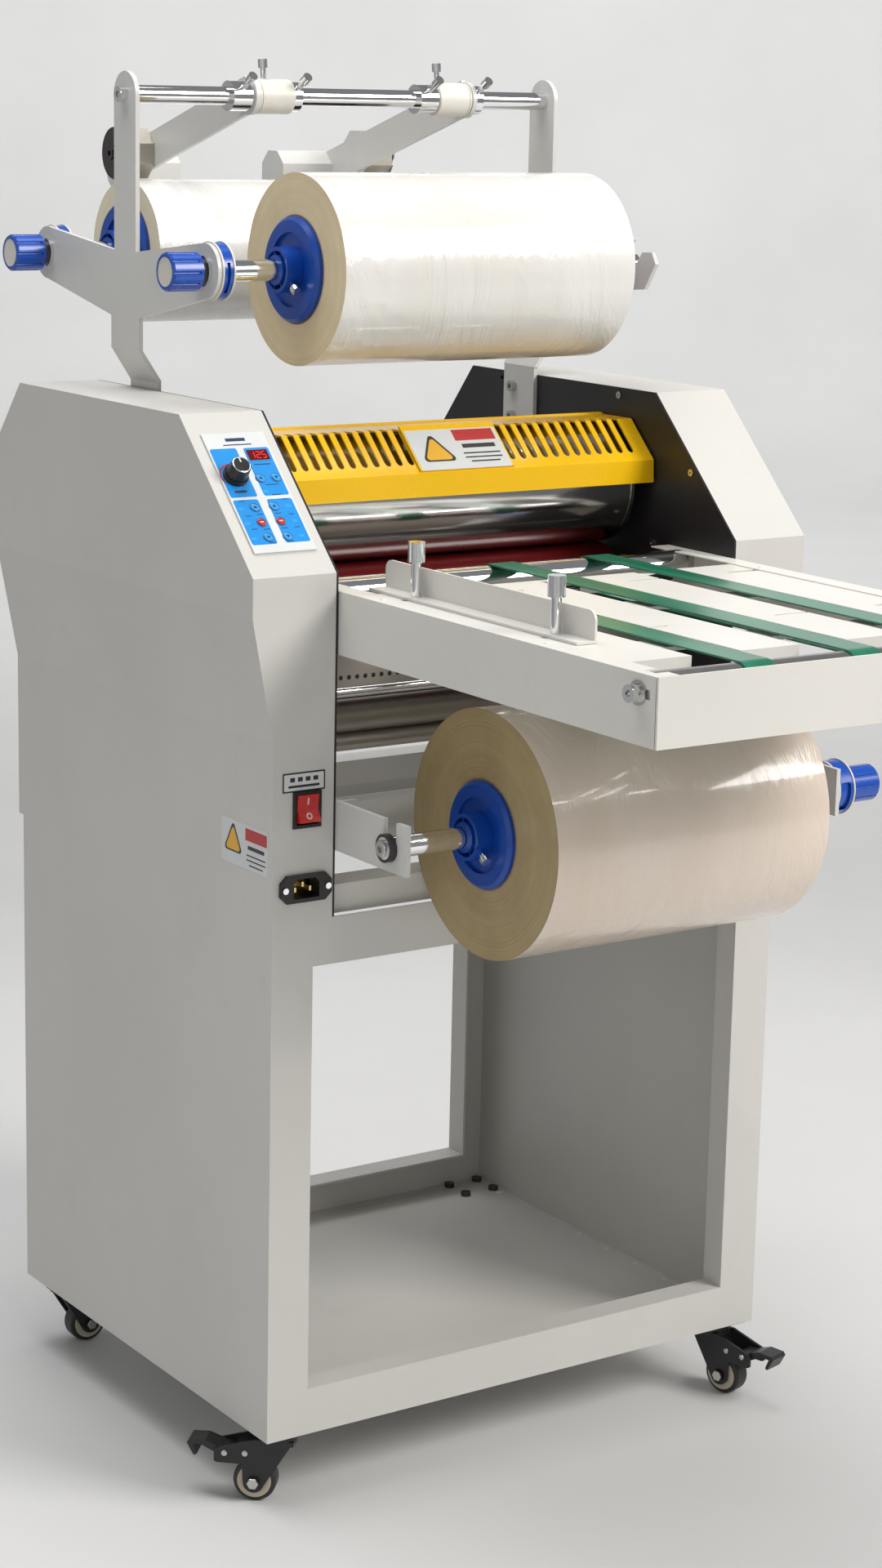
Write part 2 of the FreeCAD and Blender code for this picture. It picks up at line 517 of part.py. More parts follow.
def feed_table():
    start = TABLE_FRONT + SHEET + LIP_GAP
    side = box(-TABLE_OUT, -TABLE_OUT + SHEET, start, TABLE_BACK, TABLE_LOW, TABLE_TOP + RAIL_T)
    rail = box(-TABLE_OUT, -RAIL_IN, start, TABLE_BACK, TABLE_TOP, TABLE_TOP + RAIL_T)
    edge = -BELT_X[2] - BELT_OPENING / 2
    top = box(-TABLE_OUT, edge, SLAT_FRONT, SLAT_BACK, TABLE_TOP - SHEET, TABLE_TOP)
    turn = box(-TABLE_OUT, edge, SLAT_FRONT, SLAT_FRONT + SHEET, TABLE_TOP - 14.0, TABLE_TOP)
    sheet = join([side, rail, top, turn])
    slots = []
    for y in SCREW_YS:
        reach = FENCE_TRAVEL + SCREW_SHANK_R + 1.0
        slots.append(box(SCREW_X - reach, SCREW_X + reach, y - SCREW_SHANK_R - 0.4,
                         y + SCREW_SHANK_R + 0.4, TABLE_TOP - 5, TABLE_TOP + 1))
    slots.append(box(-TABLE_OUT - 1, -TABLE_OUT + SHEET + 1, TABLE_FRONT_ROLLER_Y - 13.0,
                     TABLE_FRONT_ROLLER_Y + 9.0, TABLE_ROLLER_Z - 3.5, TABLE_ROLLER_Z + 3.5))
    for y in (TABLE_FRONT_ROLLER_Y, TABLE_REAR_ROLLER_Y):
        slots.append(box(-ROLLER_HALF - 1, -RAIL_IN + 1, y - ROLLER_NOTCH, y + ROLLER_NOTCH,
                         TABLE_TOP - 0.1, TABLE_TOP + RAIL_T + 1))
    lip = box(-TABLE_OUT, TABLE_OUT, TABLE_FRONT, TABLE_FRONT + SHEET, TABLE_LOW, TABLE_TOP + RAIL_T)
    tab = box(-TABLE_OUT + SHEET + GAP, -TABLE_OUT + 2 * SHEET, TABLE_FRONT, TABLE_FRONT + 9.0,
              TABLE_LOW, TABLE_TOP)
    lip = join([lip, tab, mirrored(tab)])
    sheet = carve(sheet, slots)
    left = sheet
    right = mirrored(sheet)
    slats = []
    for x, (slot0, slot1) in zip((-50.0, 50.0), SLAT_SLOTS):
        half = 50.0 - BELT_OPENING / 2
        flat = box(x - half, x + half, SLAT_FRONT, SLAT_BACK, TABLE_TOP - SHEET, TABLE_TOP)
        nose = box(x - half, x + half, SLAT_FRONT, SLAT_FRONT + SHEET, TABLE_TOP - 14.0, TABLE_TOP)
        tail = box(x - half, x + half, SLAT_BACK - SHEET, SLAT_BACK, TABLE_TOP - 14.0, TABLE_TOP)
        cuts = [box(slot0 - 0.1, slot1 + 0.1, y - 1.6, y + 1.6, TABLE_TOP - 3.0, TABLE_TOP + 1.0)
                for y in SCREW_YS]
        slats.append(carve(join([flat, nose, tail]), cuts))
    under = []
    for y in (-530.0, -380.0):
        tie = box(-TABLE_OUT + SHEET, TABLE_OUT - SHEET, y, y + 30.0, TABLE_TOP - SHEET - 3.0,
                  TABLE_TOP - SHEET)
        under.append(tie)
    for y in (TABLE_FRONT_ROLLER_Y, TABLE_REAR_ROLLER_Y):
        block = box(-TABLE_OUT + SHEET, -ROLLER_HALF - 1.5, y - 11.0, y + 11.0,
                    TABLE_ROLLER_Z - 11.0, TABLE_ROLLER_Z + 9.0)
        block = block.cut(rod_x(-TABLE_OUT, -ROLLER_HALF, y, TABLE_ROLLER_Z, 4.0 + FIT))
        under += [block, mirrored(block)]
    save("feed_table", [left, right, lip] + slats + under)

    belts = []
    r = TABLE_ROLLER_R + 0.1
    for x in BELT_X:
        loops = []
        for radius, wide in ((r + BELT_T, BELT_W), (r, BELT_W + 2)):
            ends = [rod_x(x - wide / 2, x + wide / 2, y, TABLE_ROLLER_Z, radius)
                    for y in (TABLE_FRONT_ROLLER_Y, TABLE_REAR_ROLLER_Y)]
            middle = box(x - wide / 2, x + wide / 2, TABLE_FRONT_ROLLER_Y, TABLE_REAR_ROLLER_Y,
                         TABLE_ROLLER_Z - radius, TABLE_ROLLER_Z + radius)
            loops.append(join(ends + [middle]))
        belts.append(loops[0].cut(loops[1]))
    save("feed_belts", belts)

    for name, y in (("table_front_roller", TABLE_FRONT_ROLLER_Y),
                    ("table_rear_roller", TABLE_REAR_ROLLER_Y)):
        save(name, [join([rod_x(-ROLLER_HALF, ROLLER_HALF, y, TABLE_ROLLER_Z, TABLE_ROLLER_R),
                          rod_x(-ROLLER_HALF - 7, ROLLER_HALF + 7, y, TABLE_ROLLER_Z, 4.0)])])


def fence():
    base = TABLE_TOP + GAP
    foot = box(FENCE_X[0], FENCE_X[1], FENCE_Y[0], FENCE_Y[1], base, base + SHEET)
    top = base + FENCE_H
    wall = box(FENCE_X[1] - SHEET, FENCE_X[1], FENCE_Y[0], FENCE_Y[1], base, top)
    corners = [e for e in wall.Edges if abs(e.Length - SHEET) < 1e-6
               and abs(e.CenterOfMass.z - top) < 1e-6]
    wall = wall.makeFillet(8.0, corners)
    plate = join([foot, wall])
    holes = [rod_z(SCREW_X, y, base - 1, base + SHEET + 1, SCREW_SHANK_R + FIT) for y in SCREW_YS]
    save("fence", [carve(plate, holes)])
    for y, name in zip(SCREW_YS, ("front", "rear")):
        low = base + SHEET
        head = [rod_z(SCREW_X, y, low + 27.5, low + 43.5, 6.75)]
        for k in range(20):
            angle = math.radians(18 * k)
            head.append(rod_z(SCREW_X + 6.75 * math.cos(angle), y + 6.75 * math.sin(angle),
                              low + 28.0, low + 46.0, 0.45))
        knurl = head[0]
        for groove in head[1:]:
            knurl = knurl.cut(groove)
        shank = rod_z(SCREW_X, y, low, low + 29.0, 4.0)
        thread = rod_z(SCREW_X, y, TABLE_TOP - 9.0, low, SCREW_SHANK_R)
        nut = rod_z(SCREW_X, y, TABLE_TOP - 8.0, TABLE_TOP - SHEET - GAP, 5.5)
        save("fence_screw_" + name, [join([shank, knurl, thread, nut])])


# ---------------------------------------------------------------- film supply
def upright_profile(x0, x1, claw):
    post = [prism_x(x0, x1, [(POST_Y - POST_HALF, 905 + CASTER_H), (POST_Y + POST_HALF, 905 + CASTER_H),
                             (POST_Y + POST_HALF, ROD_Z), (POST_Y - POST_HALF, ROD_Z)]),
            rod_x(x0, x1, POST_Y, ROD_Z, POST_HALF)]
    body = prism_x(x0, x1, [(POST_Y - 25, 878 + CASTER_H), (POST_Y + 25, 878 + CASTER_H),
                            (POST_Y + 25, 912 + CASTER_H), (POST_Y + 20, 960 + CASTER_H),
                            (POST_Y - 20, 960 + CASTER_H), (POST_Y - 25, 912 + CASTER_H)])
    pieces = post + [body]
    for y, side in ((UPPER_Y, -1), (REAR_Y, 1)):
        arm = [(POST_Y + side * 18, 962 + CASTER_H), (y, UPPER_Z + TIP_R), (y, UPPER_Z - TIP_R),
               (POST_Y + side * 24, 906 + CASTER_H)]
        if side > 0:
            arm = arm[::-1]
        pieces.append(prism_x(x0, x1, arm))
        pieces.append(rod_x(x0, x1, y, UPPER_Z, TIP_R))
        if claw:
            far = y + side * 41
            pieces.append(prism_x(x0, x1, [(y, UPPER_Z - TIP_R), (y + side * 26, UPPER_Z - 21),
                                           (far, UPPER_Z + 2), (far - side * 6, UPPER_Z + 12),
                                           (y, UPPER_Z + 10)]))
    return join(pieces)


def upright(claw):
    """Left upright: plate, knee bent inwards, and foot on the inner plate."""
    x0, x1 = -UPRIGHT_IN - UPRIGHT_T, -UPRIGHT_IN
    plate = upright_profile(x0, x1, claw)
    knee_top, knee_low = 878 + CASTER_H, 852 + CASTER_H
    foot_in = -HOUSING_IN + UPRIGHT_T
    knee = prism_y(POST_Y - 25, POST_Y + 25, [(x0, knee_top + 0.5), (x1, knee_top + 0.5),
                                              (foot_in, knee_low), (foot_in - UPRIGHT_T, knee_low - 1)])
    foot = box(-HOUSING_IN, foot_in, POST_Y - 24, POST_Y + 24, 790 + CASTER_H, knee_low)
    whole = join([plate, knee, foot])
    holes = [rod_x(x0 - 1, x1 + 1, POST_Y, ROD_Z, 4.0 + FIT)]
    for y, side in ((UPPER_Y, -1), (REAR_Y, 1)):
        holes.append(rod_x(x0 - 1, x1 + 1, y, UPPER_Z, SHAFT_R + FIT))
        if claw:
            reach = 60.0
            c, s = side * math.cos(math.radians(50)), math.sin(math.radians(50))
            r = SHAFT_R + FIT
            holes.append(prism_x(x0 - 1, x1 + 1, [
                (y - s * r, UPPER_Z + c * r), (y + s * r, UPPER_Z - c * r),
                (y + s * r + c * reach, UPPER_Z - c * r + s * reach),
                (y - s * r + c * reach, UPPER_Z + c * r + s * reach)]))
    return carve(whole, holes)


LOWER_LEFT_X = -HOUSING_IN
LOWER_RIGHT_X = 238.0


def lower_brackets():
    z0, z1 = 502.0 + CASTER_H, 543.0 + CASTER_H
    plates = []
    for x, flange in ((LOWER_LEFT_X, 18.0), (LOWER_RIGHT_X, -18.0)):
        web = box(x, x + UPRIGHT_T, -327.0, FRONT_Y, z0, z1)
        f0, f1 = sorted((x + (0.0 if flange > 0 else UPRIGHT_T), x + flange))
        back = box(f0, f1, FRONT_Y - UPRIGHT_T, FRONT_Y, z0, z1)
        pieces = [web, back]
        if flange > 0:
            pieces.append(box(x, x + UPRIGHT_T, FRONT_Y, -160.0, z0, z1))
        bracket = join(pieces)
        notch = rod_x(x - 1, x + 10, LOWER_Y, LOWER_Z, SHAFT_R + FIT)
        mouth = box(x - 1, x + 10, LOWER_Y - SHAFT_R - FIT, LOWER_Y + SHAFT_R + FIT, LOWER_Z, z1 + 1)
        bracket = bracket.cut(notch)
        plates.append(bracket.cut(mouth) if flange > 0 else bracket)
    return plates


def chuck(x_face, side):
    """Chuck whose flange stands on a roll's end face; side -1 is a left-hand end."""
    y = z = 0.0
    flange = Part.makeCylinder(44.0, 6.0, V(x_face, y, z), V(side, 0, 0))
    rim = [e for e in flange.Edges if abs(e.Length - 2 * math.pi * 44.0) < 0.1
           and abs(e.CenterOfMass.x - (x_face + side * 6.0)) < 0.1]
    flange = flange.makeChamfer(3.0, rim)
    dish = Part.makeCylinder(31.0, 4.0, V(x_face + side * 3.0, y, z), V(side, 0, 0))
    flange = flange.cut(dish)
    plug = Part.makeCylinder(CORE_IN, 24.0, V(x_face, y, z), V(-side, 0, 0))
    wall = Part.makeCylinder(CORE_IN - 4.0, 22.0, V(x_face - side * 2.0, y, z), V(-side, 0, 0))
    plug = plug.cut(wall)
    hub = Part.makeCylinder(19.0, 19.0, V(x_face, y, z), V(side, 0, 0))
    well = Part.makeCylinder(16.0, 10.0, V(x_face + side * 9.5, y, z), V(side, 0, 0))
    hub = hub.cut(well)
    boss = Part.makeCylinder(12.5, 21.0, V(x_face - side * 1.0, y, z), V(side, 0, 0))
    spokes = []
    for k in range(8):
        rib = box(min(x_face, x_face + side * 17), max(x_face, x_face + side * 17), 11.0, 17.0,
                  -1.0, 1.0)
        rib.rotate(V(0, 0, 0), V(1, 0, 0), 45 * k + 22.5)
        spokes.append(rib)
    whole = join([flange, plug, hub, boss] + spokes)
    bore = rod_x(x_face - 40, x_face + 40, 0, 0, SHAFT_R)
    return whole.cut(bore)


def chuck_screw(x_face, side):
    """Chrome set screw standing out of a chuck's hub."""
    x = x_face + side * 13.0
    tilt = math.radians(-35.0)
    axis = V(0, -math.cos(tilt), math.sin(tilt))
    shank = Part.makeCylinder(2.5, 10.0, V(x, 0, 0) + axis * 16.5, axis)
    head = Part.makeCylinder(4.0, 4.5, V(x, 0, 0) + axis * 24.0, axis)
    return join([shank, head])


def knob(x_near, side, length):
    """Ribbed tension knob with an inset cap, standing on the plane x_near."""
    grip = Part.makeCylinder(KNOB_R, length, V(x_near, 0, 0), V(side, 0, 0))
    far = [e for e in grip.Edges if abs(e.CenterOfMass.x - (x_near + side * length)) < 0.1
           and abs(e.Length - 2 * math.pi * KNOB_R) < 0.1]
    grip = grip.makeChamfer(1.5, far)
    for k in range(KNOB_RIBS):
        angle = math.radians(360.0 * k / KNOB_RIBS)
        start = x_near + side * 3.0
        flute = Part.makeCylinder(1.1, length, V(start, KNOB_R * math.cos(angle),
                                                 KNOB_R * math.sin(angle)), V(side, 0, 0))
        grip = grip.cut(flute)
    recess = Part.makeCylinder(12.0, 2.0, V(x_near + side * (length - 1.5), 0, 0), V(side, 0, 0))
    return grip.cut(recess)


def placed(shape, y, z):
    moved = shape.copy()
    moved.translate(V(0, y, z))
    return moved


DISC_T = 3.0
WASHER_L = 6.0


def film_stations():
    """Three shafts, each with a roll on two chucks, a friction brake and a tension knob."""
    stations = (("upper", UPPER_Y, UPPER_Z, UPPER_R, UPPER_ROLL_X, -1),
                ("rear", REAR_Y, REAR_Z, REAR_R, REAR_ROLL_X, -1),
                ("lower", LOWER_Y, LOWER_Z, LOWER_R, LOWER_ROLL_X, 1))
    brakes = []
    for name, y, z, radius, span, side in stations:
        if side < 0:
            plate_out, plate_in = -UPRIGHT_IN - UPRIGHT_T, -UPRIGHT_IN
            ring_near, ring_far = plate_in, plate_in + BRAKE_L
            disc = ring_x(plate_out - DISC_T, plate_out, y, z, 13.0, SHAFT_R + FIT)
            knob_near = plate_out - DISC_T - WASHER_L
            shaft_far = UPRIGHT_IN + UPRIGHT_T + 4.0
            shaft = rod_x(knob_near + GAP, shaft_far, 0, 0, SHAFT_R)
            length = KNOB_L
            washers = ring_x(knob_near + 0.5, plate_out - DISC_T - GAP, 0, 0, 11.0, SHAFT_R)
        else:
            plate_out = LOWER_RIGHT_X + UPRIGHT_T
            ring_near, ring_far = plate_out, plate_out + BRAKE_L + 6.0
            disc = None
            knob_near = ring_far + 2.0
            shaft = rod_x(LOWER_LEFT_X - 6.0, knob_near - GAP, 0, 0, SHAFT_R)
            length = LOWER_KNOB_END - knob_near
            nut = ring_x(LOWER_LEFT_X - 6.0, LOWER_LEFT_X - 0.5, 0, 0, 11.5, SHAFT_R)
            washers = nut
        barrel = ring_x(ring_near + 1.5, ring_far - 1.5, y, z, BRAKE_R, SHAFT_R + FIT)
        flanges = [ring_x(ring_near, ring_near + 1.5, y, z, BRAKE_R + 0.8, SHAFT_R + FIT),
                   ring_x(ring_far - 1.5, ring_far, y, z, BRAKE_R + 0.8, SHAFT_R + FIT)]
        slot = box(ring_near + 4.5, ring_far - 4.5, y - 30.0, y, z - 17.0, z + 8.0)
        slot = slot.cut(rod_x(ring_near, ring_far, y, z, BRAKE_R - 2.5))
        brakes += [barrel.cut(slot)] + flanges
        if disc is not None:
            brakes.append(disc)
        chucks = [chuck(span[0], -1), chuck(span[1], 1), chuck_screw(span[0], -1),
                  chuck_screw(span[1], 1)]
        save(name + "_film_shaft", [placed(s, y, z) for s in [shaft, washers] + chucks])
        film = ring_x(span[0], span[1], y, z, radius, CORE_OUT)
        core = ring_x(span[0], span[1], y, z, CORE_OUT, CORE_IN)
        save(name + "_film_roll", [film, core])
        turner = knob(knob_near, side, length)
        cap_x0, cap_x1 = sorted((knob_near + side * (length - 1.5), knob_near + side * (length - 0.5)))
        cap = rod_x(cap_x0, cap_x1, 0, 0, 12.0)
        save(name + "_tension_knob", [placed(turner, y, z), placed(cap, y, z)])
    save("film_brakes", brakes)


# ---------------------------------------------------------------- slitters
HEAD_Y, HEAD_Z = 290.0, 1039.0 + CASTER_H
HEAD_R = 22.5
SHELL_L = 28.0
HOOD_L = 55.0
ARM_HALF = 16.0
ARM_T = 4.0
ARM_RISE = 2.0              # the arm's middle line passes this far over the rod


def thumb_screw(x, angle, start, lean):
    """Chrome clamp screw standing out of a collar, leaning along X."""
    a = math.radians(angle)
    b = math.radians(lean)
    axis = V(math.sin(b), -math.sin(a) * math.cos(b), math.cos(a) * math.cos(b))
    base = V(x, POST_Y, ROD_Z) + V(0, -math.sin(a), math.cos(a)) * start
    shank = Part.makeCylinder(2.4, 12.0, base, axis)
    head = Part.makeCylinder(4.2, 7.5, base + axis * 10.0, axis)
    return join([shank, head])


def octagon(y, z, apothem):
    """Corners of a regular octagon with a flat top."""
    radius = apothem / math.cos(math.radians(22.5))
    angles = [math.radians(22.5 + 45.0 * k) for k in range(8)]
    return [(y + radius * math.cos(a), z + radius * math.sin(a)) for a in angles]


def from_plate(face, side, near, far):
    """The X range between two distances from a plate's face, towards side."""
    return sorted((face + side * near, face + side * far))


def slitter(name, left_collar, bushing, right_collar, side, screw_x):
    """Arm on the top rod: blade cover outside the plate (towards side), hood inside it."""
    bore = rod_x(-UPRIGHT_IN, UPRIGHT_IN, POST_Y, ROD_Z, ROD_R + FIT)
    collars = []
    for x0, x1 in (left_collar, right_collar):
        collars.append(rod_x(x0, x1, POST_Y, ROD_Z, 13.0).cut(bore))
        collars.append(thumb_screw((x0 + x1) / 2, 55.0, 13.0, 4.0))
    save("slitter_collars_" + name, collars)

    outer = (bushing[0] + GAP) if side < 0 else (bushing[1] - GAP)
    inner = outer - side * ARM_T
    p0, p1 = sorted((outer, inner))
    s0, s1 = sorted((inner, (bushing[1] - GAP) if side < 0 else (bushing[0] + GAP)))
    sleeve = rod_x(s0, s1, POST_Y, ROD_Z, BUSHING_R)
    edge = [e for e in sleeve.Edges if abs(e.Length - 2 * math.pi * BUSHING_R) < 0.1]
    sleeve = sleeve.makeFillet(1.2, edge)
    g0, g1 = from_plate(inner, -side, 2.5, 3.5)
    sleeve = sleeve.cut(ring_x(g0, g1, POST_Y, ROD_Z, BUSHING_R + 1, BUSHING_R - 0.6)).cut(bore)

    start_z = ROD_Z + ARM_RISE
    length = math.hypot(HOOD_Y - POST_Y, HOOD_Z - start_z)
    ny = -(HOOD_Z - start_z) / length * ARM_HALF
    nz = (HOOD_Y - POST_Y) / length * ARM_HALF
    arm = join([rod_x(p0, p1, POST_Y, ROD_Z, ARM_HALF), rod_x(p0, p1, HOOD_Y, HOOD_Z, ARM_HALF),
                prism_x(p0, p1, [(POST_Y + ny, start_z + nz), (HOOD_Y + ny, HOOD_Z + nz),
                                 (HOOD_Y - ny, HOOD_Z - nz), (POST_Y - ny, start_z - nz)])])
    arm = arm.cut(bore)

    c0, c1 = from_plate(outer, side, 0.0, SHELL_L)
    h0, h1 = from_plate(outer, side, 2.0, SHELL_L + 1.0)
    shell = prism_x(c0, c1, octagon(HEAD_Y, HEAD_Z, HEAD_R))
    shell = shell.cut(prism_x(h0, h1, octagon(HEAD_Y, HEAD_Z, HEAD_R - 1.5)))
    k0, k1 = from_plate(outer, side, 0.0, SHELL_L - 3.0)
    shell = join([shell, rod_x(k0, k1, HEAD_Y, HEAD_Z, 9.0)])
    shell = shell.cut(rod_x(c0 - 1, c1 + 1, HEAD_Y, HEAD_Z, 3.0 + FIT))

    h0, h1 = from_plate(inner, -side, 0.0, HOOD_L)
    hood = prism_x(h0, h1, octagon(HOOD_Y, HOOD_Z, HOOD_R))
    hood = hood.cut(prism_x(h0 + 1.5, h1 - 1.5, octagon(HOOD_Y, HOOD_Z, HOOD_R - 1.5)))
    hood = hood.cut(box(h0 - 1, h1 + 1, HOOD_Y - 30.0, HOOD_Y + 30.0, HOOD_Z - 30.0, HOOD_Z - 9.0))
    screw = socket_head_x(outer, side, HOOD_Y, HOOD_Z, 5.0, 5.0, 2.5)
    clamp = thumb_screw(screw_x, 0.0, BUSHING_R - 0.6, -4.0)
    save("slitter_arm_" + name, [arm, sleeve, clamp, shell, hood, screw])

    f0, f1 = from_plate(outer, side, SHELL_L + 0.4, SHELL_L + 1.9)
    disc = rod_x(f0, f1, HEAD_Y, HEAD_Z, HEAD_R + 1.0)
    n0, n1 = from_plate(outer, side, 0.5, SHELL_L + 1.9)
    pin = rod_x(n0, n1, HEAD_Y, HEAD_Z, 3.0)
    cap = socket_head_x(outer + side * (SHELL_L + 1.9), side, HEAD_Y, HEAD_Z, 6.0, 5.0, 2.6)
    save("slitter_blade_" + name, [join([disc, pin, cap])])


def top_rod_and_uprights():
    rod = rod_x(-UPRIGHT_IN, UPRIGHT_IN, POST_Y, ROD_Z, ROD_R)
    save("top_rod", [rod])
    left = upright(False)
    right = mirrored(upright(True))
    low_left, low_right = lower_brackets()
    save("film_brackets", [left, right, low_left, low_right])
    slitter("left", (-119.0, -99.0), (-99.0, -58.0), (-58.0, -50.0), -1, -83.0)
    slitter("right", (74.0, 93.0), (93.0, 132.0), (132.0, 141.0), 1, 98.0)


def fasteners():
    """Every fixed screw, as separate solids."""
    heads = []
    for side in (-1, 1):
        x = side * (UPRIGHT_IN + UPRIGHT_T)
        shank0, shank1 = sorted((side * UPRIGHT_IN, x))
        bolt = join([socket_head_x(x, side, POST_Y, ROD_Z, 6.5, 7.0, 3.0),
                     rod_x(shank0, shank1, POST_Y, ROD_Z, 4.0)])
        heads.append(bolt)
        for z in (832.0, 804.0):
            x_foot = side * (HOUSING_IN - UPRIGHT_T)
            heads.append(socket_head_x(x_foot, -side, 108.0, z + CASTER_H, 5.0, 5.0, 2.5))
    for y, z in ((-51.7, 837.8), (-159.4, 779.9), (-107.4, 711.2)):
        for side in (-1, 1):
            heads.append(socket_head_x(side * HOUSING_IN, -side, y, z + CASTER_H, 3.2, 1.6, 1.3))
    for side in (-1, 1):
        x = side * TABLE_OUT
        washer = Part.makeCylinder(9.0, 1.5, V(x, TABLE_FRONT_ROLLER_Y, TABLE_ROLLER_Z), V(side, 0, 0))
        heads.append(join([washer, socket_head_x(x + side * 1.5, side, TABLE_FRONT_ROLLER_Y,
                                                 TABLE_ROLLER_Z, 6.5, 8.0, 3.0)]))
    for x in (INLET_MID_X - 20.0, INLET_MID_X + 20.0):
        heads.append(Part.makeCylinder(2.6, 1.6, V(x, FRONT_Y - 3.0, INLET_MID_Z), V(0, -1, 0)))
    for x, y, _, _ in CASTERS.values():
        for dx in (-17.0, 17.0):
            for dy in (-15.0, 15.0):
                heads.append(rod_z(x + dx, y + dy, CASTER_H + SHEET, CASTER_H + SHEET + 4.0, 5.0))
    save("fasteners", heads)


# ---------------------------------------------------------------- controls
PANEL_X = (-268.5, -211.5)
PANEL_S = (23.5, 144.0)
PANEL_T = 1.5
BUTTON_R = 3.4
BUTTONS = {
    "button_temperature_up": (-233.0, 96.6),
    "button_temperature_down": (-218.7, 96.6),
    "button_nip_up": (-250.0, 68.0),
    "button_nip_stop": (-250.0, 53.0),
    "button_nip_down": (-250.0, 38.0),
    "button_forward": (-232.4, 68.0),
    "button_stop": (-232.4, 53.0),
    "button_reverse": (-232.4, 37.5),
}
BUTTON_TRAVEL = 0.5
ROCKER_PIN_R = 2.0


def controls():
    panel = box(PANEL_X[0], PANEL_X[1], PANEL_S[0], PANEL_S[1], 0.0, PANEL_T)
    holes = [rod_z(x, s, -1, PANEL_T + 1, BUTTON_R + GAP) for x, s in BUTTONS.values()]
    holes.append(rod_z(SPEED_X, SPEED_S, -1, PANEL_T + 1, 3.0 + FIT))
    window = box(-235.0, -216.0, 115.0, 125.5, PANEL_T - 0.8, PANEL_T + 0.4)
    panel = carve(panel, holes + [window])
    save("control_panel", [slanted(panel), slanted(window)])
    for name, (x, s) in BUTTONS.items():
        pad = rod_z(x, s, BUTTON_TRAVEL + 0.1, PANEL_T + 0.9, BUTTON_R)
        top = [e for e in pad.Edges if abs(e.CenterOfMass.z - PANEL_T - 0.9) < 0.01
               and abs(e.Length - 2 * math.pi * BUTTON_R) < 0.1]
        save(name, [slanted(pad.makeFillet(0.4, top))])
    skirt = rod_z(SPEED_X, SPEED_S, PANEL_T + GAP, PANEL_T + 3.5, 10.5)
    body = Part.makeCone(9.4, 8.2, 11.0, V(SPEED_X, SPEED_S, PANEL_T + 3.5), V(0, 0, 1))
    for k in range(18):
        a = math.radians(20 * k)
        body = body.cut(rod_z(SPEED_X + 9.6 * math.cos(a), SPEED_S + 9.6 * math.sin(a),
                              PANEL_T + 3.5, PANEL_T + 16.0, 0.7))
    shaft = rod_z(SPEED_X, SPEED_S, -SHEET - 6.0, PANEL_T + 4.0, 3.0)
    cap = rod_z(SPEED_X, SPEED_S, PANEL_T + 14.5, PANEL_T + 15.3, 6.8)
    save("speed_knob", [slanted(join([skirt, body, shaft])), slanted(cap)])

    bezel = box(SWITCH_X[0], SWITCH_X[1], FRONT_Y - 2.0, FRONT_Y, SWITCH_Z[0], SWITCH_Z[1])
    sleeve = box(SWITCH_X[0] + BEZEL, SWITCH_X[1] - BEZEL, FRONT_Y, FRONT_Y + 18.0,
                 SWITCH_Z[0] + BEZEL, SWITCH_Z[1] - BEZEL)
    cut = box(SWITCH_X[0] + 3.0, SWITCH_X[1] - 3.0, FRONT_Y - 3.0, FRONT_Y + 16.0,
              SWITCH_Z[0] + 2.6, SWITCH_Z[1] - 2.6)
    flange = box(INLET_X[0], INLET_X[1], FRONT_Y - 3.0, FRONT_Y, INLET_Z[0], INLET_Z[1])
    corner = [e for e in flange.Edges if abs(e.Length - 3.0) < 1e-6]
    flange = flange.makeChamfer(6.0, corner)
    tub = box(INLET_MID_X - 13.8, INLET_MID_X + 13.8, FRONT_Y, FRONT_Y + 20.0,
              INLET_Z[0] + 1.7, INLET_Z[1] - 1.7)
    socket = box(INLET_MID_X - 12.2, INLET_MID_X + 12.2, FRONT_Y - 4.0, FRONT_Y + 17.0,
                 INLET_MID_Z - 8.2, INLET_MID_Z + 8.2)
    keys = [e for e in socket.Edges if abs(e.Length - 21.0) < 1e-6 and e.CenterOfMass.z > INLET_MID_Z]
    socket = socket.makeChamfer(4.0, keys)
    pins = []
    for dx, dz in ((-7.0, -2.0), (0.0, 2.0), (7.0, -2.0)):
        pins.append(box(INLET_MID_X + dx - 1.0, INLET_MID_X + dx + 1.0, FRONT_Y + 3.0,
                        FRONT_Y + 17.5, INLET_MID_Z + dz - 2.0, INLET_MID_Z + dz + 2.0))
    inlet = join([flange, tub]).cut(socket)
    middle = (SWITCH_Z[0] + SWITCH_Z[1]) / 2
    pivot_y = FRONT_Y + 4.0
    hole = rod_x(SWITCH_X[0] + 2.0, SWITCH_X[1] - 2.0, pivot_y, middle, ROCKER_PIN_R + FIT)
    save("power_inlet", [join([bezel, sleeve]).cut(cut).cut(hole), inlet] + pins)

    r = 11.2
    outline = [(pivot_y - 9.5, r), (pivot_y - 6.0, 0.0), (pivot_y - 9.5, -r), (pivot_y + 2.0, -r),
               (pivot_y + 6.0, 0.0), (pivot_y + 2.0, r)]
    rocker = prism_x(SWITCH_X[0] + 3.3, SWITCH_X[1] - 3.3, [(y, z + middle) for y, z in outline])
    rocker.rotate(V(0, pivot_y, middle), V(1, 0, 0), -9.0)
    pin = rod_x(SWITCH_X[0] + 2.1, SWITCH_X[1] - 2.1, pivot_y, middle, ROCKER_PIN_R)
    rocker = join([rocker, pin])
    save("rocker_switch", [rocker])


cabinet()
casters()
side_covers()
chassis()
rollers()
electrics()
guard()
feed_table()
fence()
top_rod_and_uprights()
film_stations()
fasteners()
controls()
print(len(os.listdir("parts")), "nodes written")
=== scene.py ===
import bpy
import bmesh
import json
import math
import numpy as np
from mathutils import Matrix, Vector


